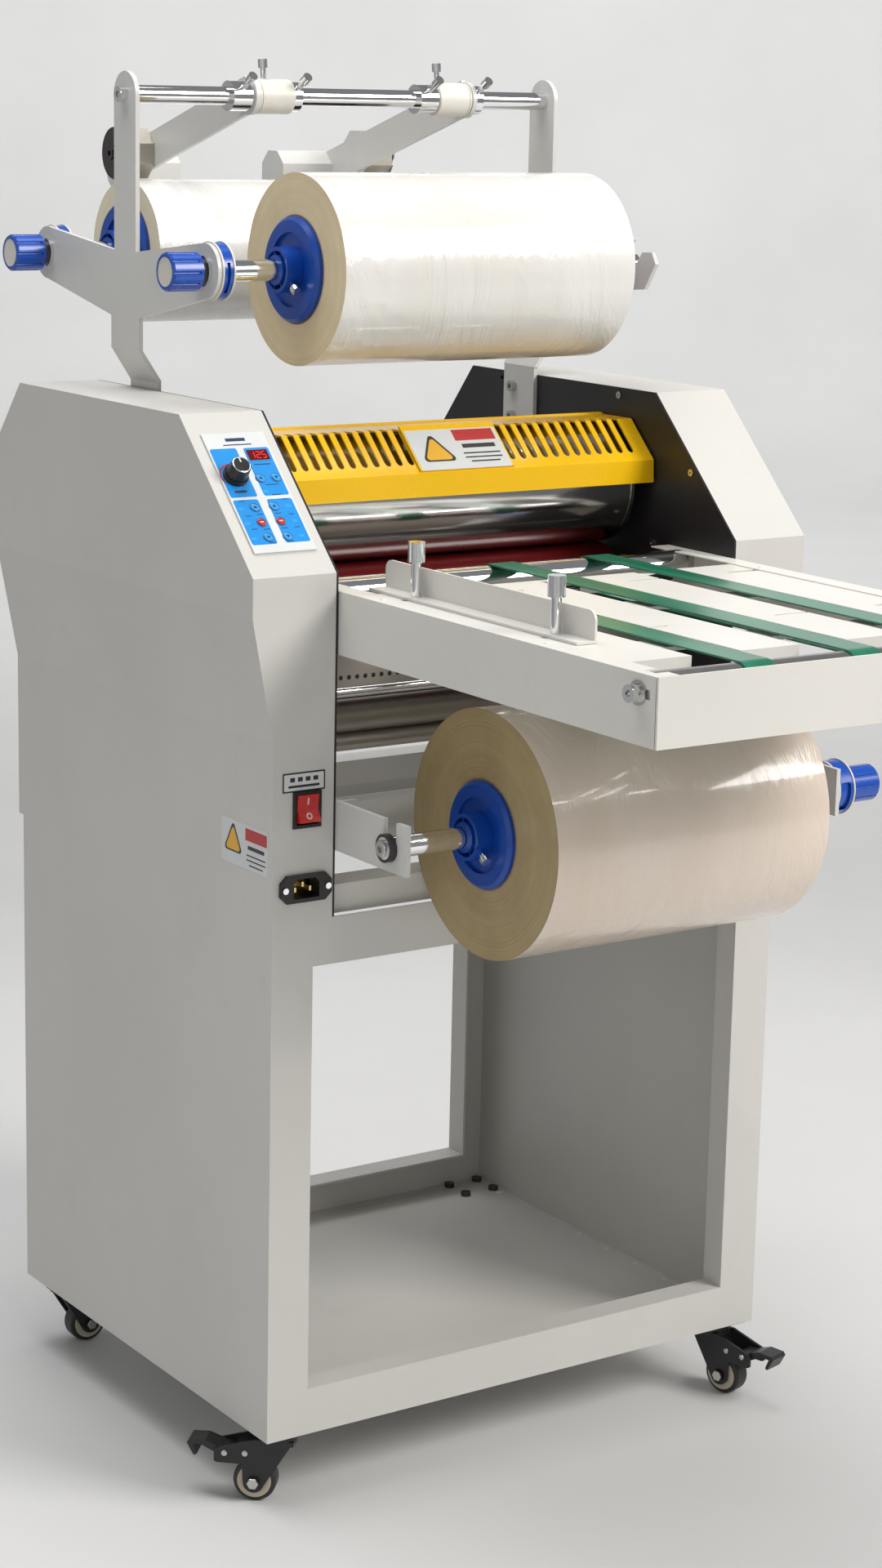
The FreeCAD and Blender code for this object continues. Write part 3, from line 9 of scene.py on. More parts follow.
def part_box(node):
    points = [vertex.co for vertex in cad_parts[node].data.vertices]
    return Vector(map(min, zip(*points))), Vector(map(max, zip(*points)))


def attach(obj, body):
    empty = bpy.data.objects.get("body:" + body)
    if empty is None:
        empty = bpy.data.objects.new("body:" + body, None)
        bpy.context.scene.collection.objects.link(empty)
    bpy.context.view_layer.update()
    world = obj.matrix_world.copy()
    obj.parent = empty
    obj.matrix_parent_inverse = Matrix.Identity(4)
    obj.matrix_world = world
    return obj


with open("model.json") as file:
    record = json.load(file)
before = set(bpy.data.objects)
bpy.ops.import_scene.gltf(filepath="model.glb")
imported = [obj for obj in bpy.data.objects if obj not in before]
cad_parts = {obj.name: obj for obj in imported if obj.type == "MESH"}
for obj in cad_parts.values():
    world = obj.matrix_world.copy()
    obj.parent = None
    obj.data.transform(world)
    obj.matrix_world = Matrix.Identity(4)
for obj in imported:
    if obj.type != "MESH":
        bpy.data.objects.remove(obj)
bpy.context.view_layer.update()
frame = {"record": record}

CABINET_LOW, CABINET_HIGH = (Vector(v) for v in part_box("cabinet_frames"))
HOME = Vector(((CABINET_LOW.x + CABINET_HIGH.x) / 2, (CABINET_LOW.y + CABINET_HIGH.y) / 2,
               CABINET_LOW.z))
FRONT_Y = (CABINET_LOW.y - HOME.y) * 1000
SIDE_X = (CABINET_HIGH.x - HOME.x) * 1000
# The left housing's slanted face, which carries the control panel, as in the CAD.
SLANT_LOW_Z = 728.0
SLANT_TOP_Y, SLANT_TOP_Z = -103.1, 844.55
SLANT = math.atan2(SLANT_TOP_Z - SLANT_LOW_Z, SLANT_TOP_Y - FRONT_Y)
JOINTS = {joint["name"]: joint for joint in frame["record"]["behaviour"]["joints"]}


def at(x, y, z):
    """A point in metres in the row's frame."""
    return HOME + Vector((x, y, z)) / 1000


def joint_place(name):
    """A joint's position in millimetres from the cabinet's middle."""
    return (Vector(JOINTS[name]["pos_m"]) - HOME) * 1000


def on_slant(x, s, n):
    """A point on the left housing's slanted face: s up the slant, n off it."""
    return at(x, FRONT_Y + s * math.cos(SLANT) - n * math.sin(SLANT),
              SLANT_LOW_Z + s * math.sin(SLANT) + n * math.cos(SLANT))


# ---------------------------------------------------------------- materials
class Nodes:
    """A short way to write a node material."""

    def __init__(self, name):
        self.material = bpy.data.materials.new(name)
        self.material.use_nodes = True
        self.tree = self.material.node_tree
        self.shader = self.tree.nodes["Principled BSDF"]

    def add(self, kind, **values):
        node = self.tree.nodes.new(kind)
        for key, value in values.items():
            if key in node.inputs:
                node.inputs[key].default_value = value
            else:
                setattr(node, key, value)
        return node

    def link(self, a, b):
        self.tree.links.new(a, b)

    def coords(self, scale=(1, 1, 1)):
        source = self.add("ShaderNodeTexCoord")
        mapping = self.add("ShaderNodeMapping", Scale=scale)
        self.link(source.outputs["Object"], mapping.inputs["Vector"])
        return mapping.outputs["Vector"]

    def noise(self, vector, scale, detail=4.0, rough=0.55, distortion=0.0):
        node = self.add("ShaderNodeTexNoise", Scale=scale, Detail=detail, Roughness=rough,
                        Distortion=distortion)
        self.link(vector, node.inputs["Vector"])
        return node.outputs["Fac"]

    def ramp(self, value, stops):
        node = self.add("ShaderNodeValToRGB")
        band = node.color_ramp
        while len(band.elements) < len(stops):
            band.elements.new(0.5)
        for element, (place, colour) in zip(band.elements, stops):
            element.position = place
            element.color = colour if len(colour) == 4 else (*colour, 1)
        self.link(value, node.inputs["Fac"])
        return node.outputs["Color"]

    def grey(self, value, low, high, start=0.0, end=1.0):
        node = self.add("ShaderNodeMapRange")
        node.inputs["From Min"].default_value = start
        node.inputs["From Max"].default_value = end
        node.inputs["To Min"].default_value = low
        node.inputs["To Max"].default_value = high
        self.link(value, node.inputs["Value"])
        return node.outputs["Result"]

    def maths(self, operation, a, b=None):
        node = self.add("ShaderNodeMath", operation=operation)
        for socket, value in zip(node.inputs, (a, b)):
            if value is None:
                continue
            if isinstance(value, (int, float)):
                socket.default_value = value
            else:
                self.link(value, socket)
        return node.outputs[0]

    def mix(self, factor, a, b):
        node = self.add("ShaderNodeMix", data_type="RGBA")
        for socket, value in ((node.inputs[0], factor), (node.inputs[6], a), (node.inputs[7], b)):
            if isinstance(value, (tuple, list)):
                socket.default_value = (*value, 1) if len(value) == 3 else value
            elif isinstance(value, (int, float)):
                socket.default_value = value
            else:
                self.link(value, socket)
        return node.outputs[2]

    def bump(self, height, strength, distance, normal=None):
        node = self.add("ShaderNodeBump", Strength=strength, Distance=distance)
        self.link(height, node.inputs["Height"])
        if normal is not None:
            self.link(normal, node.inputs["Normal"])
        return node.outputs["Normal"]

    def out(self, colour=None, rough=None, normal=None, **fixed):
        for socket, value in (("Base Color", colour), ("Roughness", rough), ("Normal", normal)):
            if value is None:
                continue
            if isinstance(value, (tuple, list)):
                self.shader.inputs[socket].default_value = (*value, 1)
            elif isinstance(value, (int, float)):
                self.shader.inputs[socket].default_value = value
            else:
                self.link(value, self.shader.inputs[socket])
        for key, value in fixed.items():
            self.shader.inputs[key.replace("_", " ")].default_value = value
        return self.material


def painted(name, colour, rough=0.42, grain=900.0, depth=0.00012, drift=0.05, dirt=0.06, coat=0.0):
    """Powder coat: fine orange peel, slow drift of tone, and soft smudges."""
    m = Nodes(name)
    place = m.coords()
    slow = m.noise(place, 3.0, 3.0)
    peel = m.noise(place, grain, 2.0, 0.6)
    smudge = m.noise(place, 14.0, 6.0, 0.7, 0.6)
    dark = tuple(c * (1 - drift) for c in colour)
    light = tuple(min(1.0, c * (1 + drift * 0.6)) for c in colour)
    tone = m.ramp(slow, ((0.35, dark), (0.65, light)))
    worn = tuple(c * (1 - dirt * 1.6) for c in colour)
    tone = m.mix(m.grey(smudge, 0.0, 0.5, 0.55, 0.8), tone, worn)
    gloss = m.grey(smudge, rough - 0.05, rough + 0.10)
    return m.out(tone, gloss, m.bump(peel, 0.35, depth), Coat_Weight=coat, Coat_Roughness=0.12)


def polished(name, colour, rough=0.07, streak=(4, 260, 260), wear=0.05, metal=1.0):
    """Plated or turned steel with lathe streaks across its axis and faint handling marks."""
    m = Nodes(name)
    lines = m.noise(m.coords(streak), 1.0, 3.0, 0.6)
    marks = m.noise(m.coords(), 18.0, 3.0, 0.5)
    dull = tuple(c * 0.90 for c in colour)
    tone = m.mix(m.grey(marks, 0.0, 0.5, 0.4, 0.8), colour, dull)
    gloss = m.maths("ADD", m.grey(lines, rough * 0.8, rough * 1.3),
                    m.grey(marks, 0.0, wear, 0.4, 0.9))
    return m.out(tone, gloss, m.bump(lines, 0.10, 0.00005), Metallic=metal)


def moulded(name, colour, rough=0.35, grain=1400.0, depth=0.00006, drift=0.06, **fixed):
    """Moulded plastic or nylon: fine grain and a slow drift of tone and gloss."""
    m = Nodes(name)
    place = m.coords()
    fine = m.noise(place, grain, 2.0)
    slow = m.noise(place, 30.0, 4.0, 0.6)
    dark = tuple(c * (1 - drift) for c in colour)
    light = tuple(min(1.0, c * (1 + drift)) for c in colour)
    tone = m.ramp(slow, ((0.3, dark), (0.7, light)))
    return m.out(tone, m.grey(slow, rough - 0.06, rough + 0.08), m.bump(fine, 0.25, depth), **fixed)


def film_side(name, warm):
    """Wound clear film seen from outside: glossy, with tight wrinkles and faint bands."""
    m = Nodes(name)
    place = m.coords()
    broad = m.noise(m.coords((3.5, 1.2, 1.2)), 2.0, 3.0, 0.5, 0.6)
    ruck = m.noise(m.coords((14, 5, 5)), 1.0, 5.0, 0.62, 1.4)
    ruck2 = m.noise(m.coords((60, 12, 12)), 1.0, 3.0, 0.5, 0.8)
    band = m.noise(m.coords((38, 0.4, 0.4)), 1.0, 2.0, 0.5)
    pale = tuple(min(1.0, c * 1.06) for c in warm)
    deep = tuple(c * d for c, d in zip(warm, (0.95, 0.92, 0.87)))
    tone = m.ramp(broad, ((0.30, deep), (0.52, warm), (0.72, pale)))
    tone = m.mix(m.grey(band, 0.0, 0.25, 0.45, 0.7), tone, deep)
    crease = m.grey(ruck, 0.0, 1.0, 0.35, 0.7)
    normal = m.bump(crease, 0.45, 0.0030)
    normal = m.bump(ruck2, 0.16, 0.0007, normal)
    gloss = m.grey(m.noise(place, 22.0, 4.0), 0.13, 0.30)
    return m.out(tone, gloss, normal, Coat_Weight=0.55, Coat_Roughness=0.06,
                 Subsurface_Weight=0.06, Specular_IOR_Level=0.6)


def film_end(name, axis_y, axis_z, pale, deep):
    """A roll's end face: hundreds of film edges as fine rings of changing tone."""
    m = Nodes(name)
    source = m.add("ShaderNodeTexCoord")
    split = m.add("ShaderNodeSeparateXYZ")
    m.link(source.outputs["Object"], split.inputs[0])
    dy = m.maths("SUBTRACT", split.outputs[1], axis_y)
    dz = m.maths("SUBTRACT", split.outputs[2], axis_z)
    squared = m.maths("ADD", m.maths("MULTIPLY", dy, dy), m.maths("MULTIPLY", dz, dz))
    radius = m.maths("SQRT", squared)
    wrap = m.add("ShaderNodeCombineXYZ")
    m.link(m.maths("MULTIPLY", radius, 620.0), wrap.inputs[0])
    rings = m.noise(wrap.outputs[0], 1.0, 5.0, 0.75)
    wide = m.add("ShaderNodeCombineXYZ")
    m.link(m.maths("MULTIPLY", radius, 120.0), wide.inputs[0])
    bands = m.noise(wide.outputs[0], 1.0, 2.0, 0.5)
    patch = m.noise(m.coords(), 26.0, 4.0, 0.6)
    tone = m.ramp(rings, ((0.30, deep), (0.62, pale)))
    light = tuple(min(1.0, c * 1.12) for c in pale)
    tone = m.mix(m.grey(bands, 0.0, 0.28, 0.42, 0.68), tone, light)
    tone = m.mix(m.grey(patch, 0.0, 0.55, 0.42, 0.75), tone, deep)
    return m.out(tone, m.grey(rings, 0.34, 0.55), m.bump(rings, 0.30, 0.00035), Coat_Weight=0.15,
                 Coat_Roughness=0.2)


def cardboard(name):
    """Brown board with fibres that run round the core."""
    m = Nodes(name)
    fibres = m.noise(m.coords((30, 320, 320)), 1.0, 5.0, 0.7)
    tone = m.ramp(fibres, ((0.3, (0.20, 0.13, 0.06)), (0.7, (0.36, 0.25, 0.13))))
    return m.out(tone, 0.85, m.bump(fibres, 0.5, 0.0003))


def belt_rubber(name):
    """Green conveyor belt: a fine cross weave under a waxy face, paler where it is worn."""
    m = Nodes(name)
    source = m.add("ShaderNodeTexCoord")
    weave = m.add("ShaderNodeTexChecker", Scale=900.0)
    m.link(source.outputs["Object"], weave.inputs["Vector"])
    worn = m.noise(m.coords((70, 4, 4)), 1.0, 4.0, 0.6)
    tone = m.ramp(worn, ((0.25, (0.004, 0.095, 0.050)), (0.6, (0.012, 0.190, 0.105)),
                         (0.85, (0.050, 0.300, 0.190))))
    return m.out(tone, m.grey(worn, 0.24, 0.40), m.bump(weave.outputs["Fac"], 0.12, 0.00008),
                 Coat_Weight=0.3, Coat_Roughness=0.15)


def silicone(name):
    """Dark red rubber with a soft sheen and specks of pale dust."""
    m = Nodes(name)
    wave = m.noise(m.coords((5, 60, 60)), 1.0, 3.0, 0.5)
    dust = m.noise(m.coords(), 260.0, 4.0, 0.8)
    tone = m.ramp(wave, ((0.3, (0.090, 0.004, 0.005)), (0.7, (0.160, 0.008, 0.008))))
    tone = m.mix(m.grey(dust, 0.0, 0.30, 0.62, 0.8), tone, (0.45, 0.20, 0.18))
    return m.out(tone, m.grey(wave, 0.22, 0.38), m.bump(dust, 0.15, 0.00008), Coat_Weight=0.25,
                 Coat_Roughness=0.2)


def printed(name, colour, rough=0.30):
    """Ink under the clear top film of a printed sheet."""
    m = Nodes(name)
    dots = m.noise(m.coords(), 1800.0, 2.0, 0.5)
    slow = m.noise(m.coords(), 40.0, 3.0)
    dark = tuple(c * 0.95 for c in colour)
    tone = m.ramp(slow, ((0.3, dark), (0.7, colour)))
    return m.out(tone, m.grey(slow, rough - 0.04, rough + 0.05), m.bump(dots, 0.10, 0.00003),
                 Coat_Weight=0.25, Coat_Roughness=0.25)


def lit(name, colour, glow):
    """Clear coloured plastic that glows a little from behind."""
    m = Nodes(name)
    haze = m.noise(m.coords(), 300.0, 3.0)
    dark = tuple(c * 0.7 for c in colour)
    tone = m.ramp(haze, ((0.3, dark), (0.7, colour)))
    material = m.out(tone, m.grey(haze, 0.10, 0.18), None, Coat_Weight=0.5, Coat_Roughness=0.05)
    m.shader.inputs["Emission Color"].default_value = (*colour, 1)
    m.shader.inputs["Emission Strength"].default_value = glow
    return material


IVORY = painted("ivory_coat", (0.590, 0.578, 0.545))
IVORY_LIGHT = painted("ivory_coat_table", (0.700, 0.685, 0.640), rough=0.34)
BRACKET = painted("ivory_coat_brackets", (0.630, 0.625, 0.600), rough=0.32)
BLACK = painted("black_coat", (0.012, 0.012, 0.014), rough=0.36, drift=0.25, dirt=0.3)
YELLOW = painted("yellow_coat", (0.900, 0.520, 0.0015), rough=0.24, grain=500.0, depth=0.00006,
                 drift=0.04, coat=0.35)
CHROME = polished("chrome", (0.80, 0.80, 0.81), rough=0.05)
HOT_CHROME = polished("roller_chrome", (0.56, 0.55, 0.54), rough=0.12, streak=(2, 420, 420),
                      wear=0.08)
ZINC = polished("zinc_steel", (0.56, 0.55, 0.53), rough=0.22, streak=(60, 60, 60), wear=0.06)
DULL = polished("dull_steel", (0.30, 0.30, 0.29), rough=0.36, streak=(12, 90, 90), wear=0.08)
SATIN = polished("satin_steel", (0.46, 0.43, 0.37), rough=0.46, streak=(3, 300, 300), wear=0.06)
DARK_STEEL = polished("dark_steel", (0.10, 0.09, 0.09), rough=0.30, streak=(40, 40, 40), wear=0.12)
RED_RUBBER = silicone("red_silicone")
BLACK_PLASTIC = moulded("black_plastic", (0.012, 0.012, 0.013), rough=0.36)
BLUE = moulded("blue_plastic", (0.004, 0.065, 0.400), rough=0.26, Coat_Weight=0.2,
               Coat_Roughness=0.2)
BLUE_CHUCK = moulded("blue_chuck", (0.003, 0.060, 0.370), rough=0.32)
OFF_WHITE = moulded("off_white_plastic", (0.64, 0.62, 0.56), rough=0.38)
NYLON = moulded("nylon_bush", (0.70, 0.67, 0.60), rough=0.42, Subsurface_Weight=0.08)
GREEN = belt_rubber("green_belt")
TREAD = moulded("black_tread", (0.020, 0.019, 0.018), rough=0.46)
# The film guide sheet's dark warm grey is partly its own tone and partly painted shade, copied from
# how it looks in the shade under the table.
WEB_SHEET_SHADED = painted("warm_grey_sheet_painted_shade", (0.36, 0.33, 0.29), rough=0.34)
HUB = moulded("beige_hub", (0.50, 0.44, 0.34), rough=0.42)
BRASS = polished("brass_pin", (0.62, 0.48, 0.22), rough=0.2, streak=(80, 80, 80))
CARD = cardboard("core_board")
WHITE_PRINT = printed("print_white", (0.66, 0.68, 0.68))
BLUE_PRINT = printed("print_blue", (0.012, 0.260, 0.680))
PALE_PRINT = printed("print_pale_blue", (0.035, 0.330, 0.720))
RING_PRINT = printed("print_ring_blue", (0.012, 0.150, 0.420))
DARK_PRINT = printed("print_dark", (0.020, 0.045, 0.110))
RED_PRINT = printed("print_red", (0.480, 0.020, 0.018))
YELLOW_PRINT = printed("print_yellow", (0.780, 0.420, 0.010))
BLACK_PRINT = printed("print_black", (0.012, 0.012, 0.012))
DISPLAY = lit("display_window", (0.120, 0.002, 0.004), 0.05)
DIGITS = lit("display_digits", (0.900, 0.030, 0.020), 1.2)
SWITCH = lit("switch_rocker", (0.560, 0.010, 0.008), 0.06)
SILVER_CAP = polished("silver_cap", (0.62, 0.62, 0.63), rough=0.22, streak=(300, 300, 300))


# ---------------------------------------------------------------- painting the frame's parts
def faces_of(node):
    """Centre and normal of each face of a CAD node, in millimetres from the cabinet's middle."""
    mesh = bpy.data.objects[node].data
    count = len(mesh.polygons)
    centre = np.empty(count * 3)
    normal = np.empty(count * 3)
    mesh.polygons.foreach_get("center", centre)
    mesh.polygons.foreach_get("normal", normal)
    centre = (centre.reshape(-1, 3) - np.array(HOME)) * 1000
    return centre[:, 0], centre[:, 1], centre[:, 2], normal.reshape(-1, 3)


def paint(node, base, *layers):
    """Give a node one material, and each later (material, mask) pair its own faces."""
    item = bpy.data.objects[node]
    item.data.materials.clear()
    index = np.zeros(len(item.data.polygons), dtype=np.int32)
    item.data.materials.append(base)
    for material, mask in layers:
        item.data.materials.append(material)
        index[mask] = len(item.data.materials) - 1
    item.data.polygons.foreach_set("material_index", index)
    item.data.update()


def away(y, z, axis):
    """Each face's distance from an axis that runs along X."""
    return np.hypot(y - axis.y, z - axis.z)


def within(value, span):
    return (value > span[0]) & (value < span[1])


# A node with several solids is one mesh, so its pieces are picked out by place.  These repeat
# the CAD's places and sizes, each with a little room, because the frame names no single solid.
INNER_X = 200.0             # between the black side plates
PLATE_X = 200.6             # the side plates' inner faces and beyond
WEB_Y, WEB_Z = (-120.2, -117.8), (611.0, 656.0)
LOW_BAR_TOP = 475.0
BIG_BAR, SMALL_BAR, TUBE = (-45.0, 570.0, 15.0), (-45.0, 547.0, 8.6), (-120.0, 497.0, 20.5)
BEARING_X, BEARING_Z = (190.0, 197.0), (680.0, 710.5)
LIP_BACK_Y = -626.0
INLET_X, INLET_Z = -229.0, 474.5
PIN_REACH_X, PIN_REACH_Z, PIN_DEPTH = 9.0, 4.6, (2.5, 17.4)
CASTER_SCREW_TOP = 10.0
HIGH_SCREW_Z, HIGH_SCREW_X = 600.0, 202.0
ROLLER_END_X = 190.5
SILICONE_CORE_R = 37.2
CARD_R = 45.4               # all that is nearer the axis than this is the cardboard core
SHAFT_R = 9.05
CHUCK_OUT, CHUCK_SCREW_OUT, COLLAR_OUT = 22.0, 7.5, 50.0    # past the roll's end
CHUCK_SCREW_R = 19.3
KNOB_CAP_R, KNOB_CAP_T = 12.05, 1.52
BRAKE_X = (-209.0, 251.0)   # middle of the left and the right brakes
BRAKE_HALF = (6.0, 9.0)
BRAKE_FLANGE = (-1.6, 0.1)  # about the brake's end faces
BRAKE_DISC_X = -217.0
SLITTER_PLATE_X = {"left": -98.7, "right": 131.7}
BLADE_COVER_R = 27.0
SLEEVE_R, SLITTER_SCREW_R = 15.3, (15.2, 45.0)
SLEEVE_OUT, HOOD_OUT, SCREW_OUT, COVER_OUT = -3.9, -4.1, -4.5, 0.1      # off the plate's face
HOOD_FRONT_Y, HOOD_BOLT_Y = 320.0, 335.0
HUB_R = (9.5, 14.6)
KNOB_TOP = 15.6


def paint_static():
    """The parts of the frame that stand still."""
    for node in ("cabinet_side_panels", "cabinet_frames", "cabinet_floor", "side_covers"):
        paint(node, IVORY)
    paint("film_brackets", BRACKET)
    paint("fence", IVORY_LIGHT)
    paint("caster_plates", BLACK)
    paint("top_rod", CHROME)
    paint("feed_belts", GREEN)
    paint("drive_and_heater", DULL)
    paint("roller_guard", YELLOW)
    paint("control_panel", WHITE_PRINT)
    x, y, z, _ = faces_of("chassis")
    inner = np.abs(x) < INNER_X
    web = inner & within(y, WEB_Y) & within(z, WEB_Z)
    big_bar, small_bar, tube = (inner & (np.hypot(y - rod_y, z - rod_z) < reach)
                                for rod_y, rod_z, reach in (BIG_BAR, SMALL_BAR, TUBE))
    # The film guide sheet gets the darker warm grey, which is partly painted shade.
    paint("chassis", BLACK, (CHROME, inner), (IVORY_LIGHT, inner & (z < LOW_BAR_TOP)),
          (WEB_SHEET_SHADED, web), (SATIN, big_bar | small_bar), (IVORY_LIGHT, tube),
          (BLACK, np.abs(x) > PLATE_X))
    x, y, z, normal = faces_of("feed_table")
    upright = np.abs(normal[:, 2]) < 0.5
    bearings = within(np.abs(x), BEARING_X) & within(z, BEARING_Z) & (y > LIP_BACK_Y) & upright
    paint("feed_table", IVORY_LIGHT, (ZINC, bearings))
    x, y, z, _ = faces_of("power_inlet")
    pins = (np.abs(x - INLET_X) < PIN_REACH_X) & (np.abs(z - INLET_Z) < PIN_REACH_Z) & \
        within(y - FRONT_Y, PIN_DEPTH)
    paint("power_inlet", BLACK_PLASTIC, (BRASS, pins))
    x, y, z, _ = faces_of("fasteners")
    high = (z > HIGH_SCREW_Z) & (np.abs(x) < HIGH_SCREW_X)
    paint("fasteners", CHROME, (DARK_STEEL, z < CASTER_SCREW_TOP), (ZINC, high))


def paint_rollers():
    """The two nip rollers, their blocks and gear, and the table's rollers."""
    x, y, z, _ = faces_of("heated_roller")
    paint("heated_roller", HOT_CHROME, (DULL, np.abs(x) > ROLLER_END_X))
    x, y, z, _ = faces_of("silicone_roller")
    far = away(y, z, joint_place("silicone_roller_spin"))
    steel = (far < SILICONE_CORE_R) | (np.abs(x) > ROLLER_END_X)
    paint("silicone_roller", RED_RUBBER, (DULL, steel))
    for node, material in (("nip_blocks", DARK_STEEL), ("motor_gear", ZINC),
                           ("table_front_roller", ZINC), ("table_rear_roller", CHROME)):
        paint(node, material)


FILM_TONES = {"upper": (0.76, 0.745, 0.715), "rear": (0.78, 0.77, 0.745),
              "lower": (0.72, 0.625, 0.54)}
END_TONES = {"upper": ((0.82, 0.70, 0.47), (0.66, 0.53, 0.31)),
             "rear": ((0.86, 0.79, 0.62), (0.70, 0.61, 0.42)),
             "lower": ((0.50, 0.385, 0.20), (0.33, 0.245, 0.115))}


def box_mm(node):
    """Low and high corners of a CAD node, in millimetres from the cabinet's middle."""
    return [(Vector(corner) - HOME) * 1000 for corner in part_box(node)]


def paint_film():
    """Film rolls on their cores, shafts with chucks, tension knobs and brakes."""
    for name in ("upper", "rear", "lower"):
        axis = joint_place(name + "_film_spin")
        x, y, z, normal = faces_of(name + "_film_roll")
        far = away(y, z, axis)
        ends = np.abs(normal[:, 0]) > 0.5
        world = at(axis.x, axis.y, axis.z)
        pale, deep = END_TONES[name]
        paint(name + "_film_roll", film_side(name + "_film", FILM_TONES[name]),
              (film_end(name + "_film_end", world.y, world.z, pale, deep), ends),
              (CARD, far < CARD_R))
        x, y, z, _ = faces_of(name + "_film_shaft")
        far = away(y, z, axis)
        low, high = box_mm(name + "_film_roll")
        outside = np.maximum(low.x - x, x - high.x)
        chuck = (far > SHAFT_R) & (outside < CHUCK_OUT)
        screw = (far > CHUCK_SCREW_R) & (outside > CHUCK_SCREW_OUT) & (outside < CHUCK_OUT)
        collar = (far > SHAFT_R) & (outside > COLLAR_OUT)
        paint(name + "_film_shaft", CHROME, (BLUE_CHUCK, chuck), (CHROME, screw),
              (DARK_STEEL, collar))
        x, y, z, _ = faces_of(name + "_tension_knob")
        far = away(y, z, axis)
        low, high = box_mm(name + "_tension_knob")
        outer = low.x if low.x < 0 else high.x
        cap = (far < KNOB_CAP_R) & (np.abs(x - outer) < KNOB_CAP_T)
        paint(name + "_tension_knob", BLUE, (OFF_WHITE, cap))
    x, y, z, _ = faces_of("film_brakes")
    left = x < 0
    offset = np.abs(x - np.where(left, *BRAKE_X)) - np.where(left, *BRAKE_HALF)
    flange = within(offset, BRAKE_FLANGE)
    paint("film_brakes", BLUE, (OFF_WHITE, flange), (CHROME, x < BRAKE_DISC_X))


def paint_slitters():
    """The two slitters on the top rod: a plate with a sleeve, a blade cover and a hood."""
    for name in ("left", "right"):
        rod = joint_place("slitter_swing_" + name)
        head = joint_place("slitter_blade_spin_" + name)
        paint("slitter_collars_" + name, CHROME)
        paint("slitter_blade_" + name, DARK_STEEL if name == "left" else CHROME)
        x, y, z, _ = faces_of("slitter_arm_" + name)
        far = away(y, z, rod)
        side = -1 if name == "left" else 1
        out = (x - SLITTER_PLATE_X[name]) * side
        sleeve = (far < SLEEVE_R) & (out < SLEEVE_OUT)
        screw = (far >= SLITTER_SCREW_R[0]) & (far < SLITTER_SCREW_R[1]) & (out < SCREW_OUT)
        shell = (away(y, z, head) < BLADE_COVER_R) & (out > COVER_OUT)
        hood = (y > HOOD_FRONT_Y) & (out < HOOD_OUT)
        bolt = (y > HOOD_BOLT_Y) & (out > COVER_OUT)
        paint("slitter_arm_" + name, BRACKET, (NYLON, sleeve), (SATIN, shell), (BRACKET, hood),
              (CHROME, screw | bolt))


CORNERS = ("front_left", "front_right", "rear_left", "rear_right")


def paint_casters():
    """Black forks and pedals, and wheels with a pale hub in a dark tread."""
    for corner in CORNERS:
        paint("caster_fork_" + corner, BLACK)
        hub = joint_place("wheel_spin_" + corner)
        x, y, z, _ = faces_of("caster_wheel_" + corner)
        far = np.sqrt((x - hub.x) ** 2 + (y - hub.y) ** 2 + (z - hub.z) ** 2)
        axis = np.array(JOINTS["wheel_spin_" + corner]["axis"])
        along = (x - hub.x) * axis[0] + (y - hub.y) * axis[1]
        radial = np.sqrt(np.maximum(far ** 2 - along ** 2, 0))
        paint("caster_wheel_" + corner, TREAD, (HUB, within(radial, HUB_R)))
        if "front" in corner:
            paint("caster_pedal_" + corner, BLACK)


def paint_controls():
    """Buttons, speed knob, rocker and the fence's thumb screws."""
    for name, kind in BUTTONS.items():
        paint("button_" + name, RED_PRINT if kind == "bar" else PALE_PRINT)
    place = joint_place("speed_turn")
    _, y, z, normal = faces_of("speed_knob")
    axis = np.array(JOINTS["speed_turn"]["axis"])
    lift = (y - place.y) * axis[1] + (z - place.z) * axis[2]
    paint("speed_knob", BLACK_PLASTIC, (SILVER_CAP, (lift > KNOB_TOP) & (normal @ axis < 0.5)))
    paint("rocker_switch", SWITCH)
    for name in ("front", "rear"):
        paint("fence_screw_" + name, CHROME)


# ---------------------------------------------------------------- small pieces
def piece(name, build, material, body="root"):
    """Make a mesh object with a builder that fills a bmesh in metres."""
    mesh = bpy.data.meshes.new(name)
    bm = bmesh.new()
    build(bm)
    bm.normal_update()
    bm.to_mesh(mesh)
    bm.free()
    mesh.materials.append(material)
    item = bpy.data.objects.new(name, mesh)
    bpy.context.collection.objects.link(item)
    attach(item, body)


def rounded(width, height, radius, steps=6):
    """Corner points of a rounded rectangle about the origin."""
    points = []
    for cx, cy, start in ((1, 1, 0), (-1, 1, 90), (-1, -1, 180), (1, -1, 270)):
        for k in range(steps + 1):
            angle = math.radians(start + 90 * k / steps)
            points.append((cx * (width / 2 - radius) + radius * math.cos(angle),
                           cy * (height / 2 - radius) + radius * math.sin(angle)))
    return points


def ring(bm, outline, to_world, height):
    """The vertices of one outline at one height; to_world maps (a, b, height) to metres."""
    return [bm.verts.new(to_world(a, b, height)) for a, b in outline]


def band(bm, near, far):
    """Quads between two rings with the same number of vertices."""
    count = len(near)
    for k in range(count):
        j = (k + 1) % count
        bm.faces.new((near[k], near[j], far[j], far[k]))


def slab(bm, outline, to_world, low, high):
    """Extrude a flat outline between two heights."""
    lower, upper = (ring(bm, outline, to_world, height) for height in (low, high))
    bm.faces.new(upper)
    bm.faces.new(lower[::-1])
    band(bm, lower, upper)


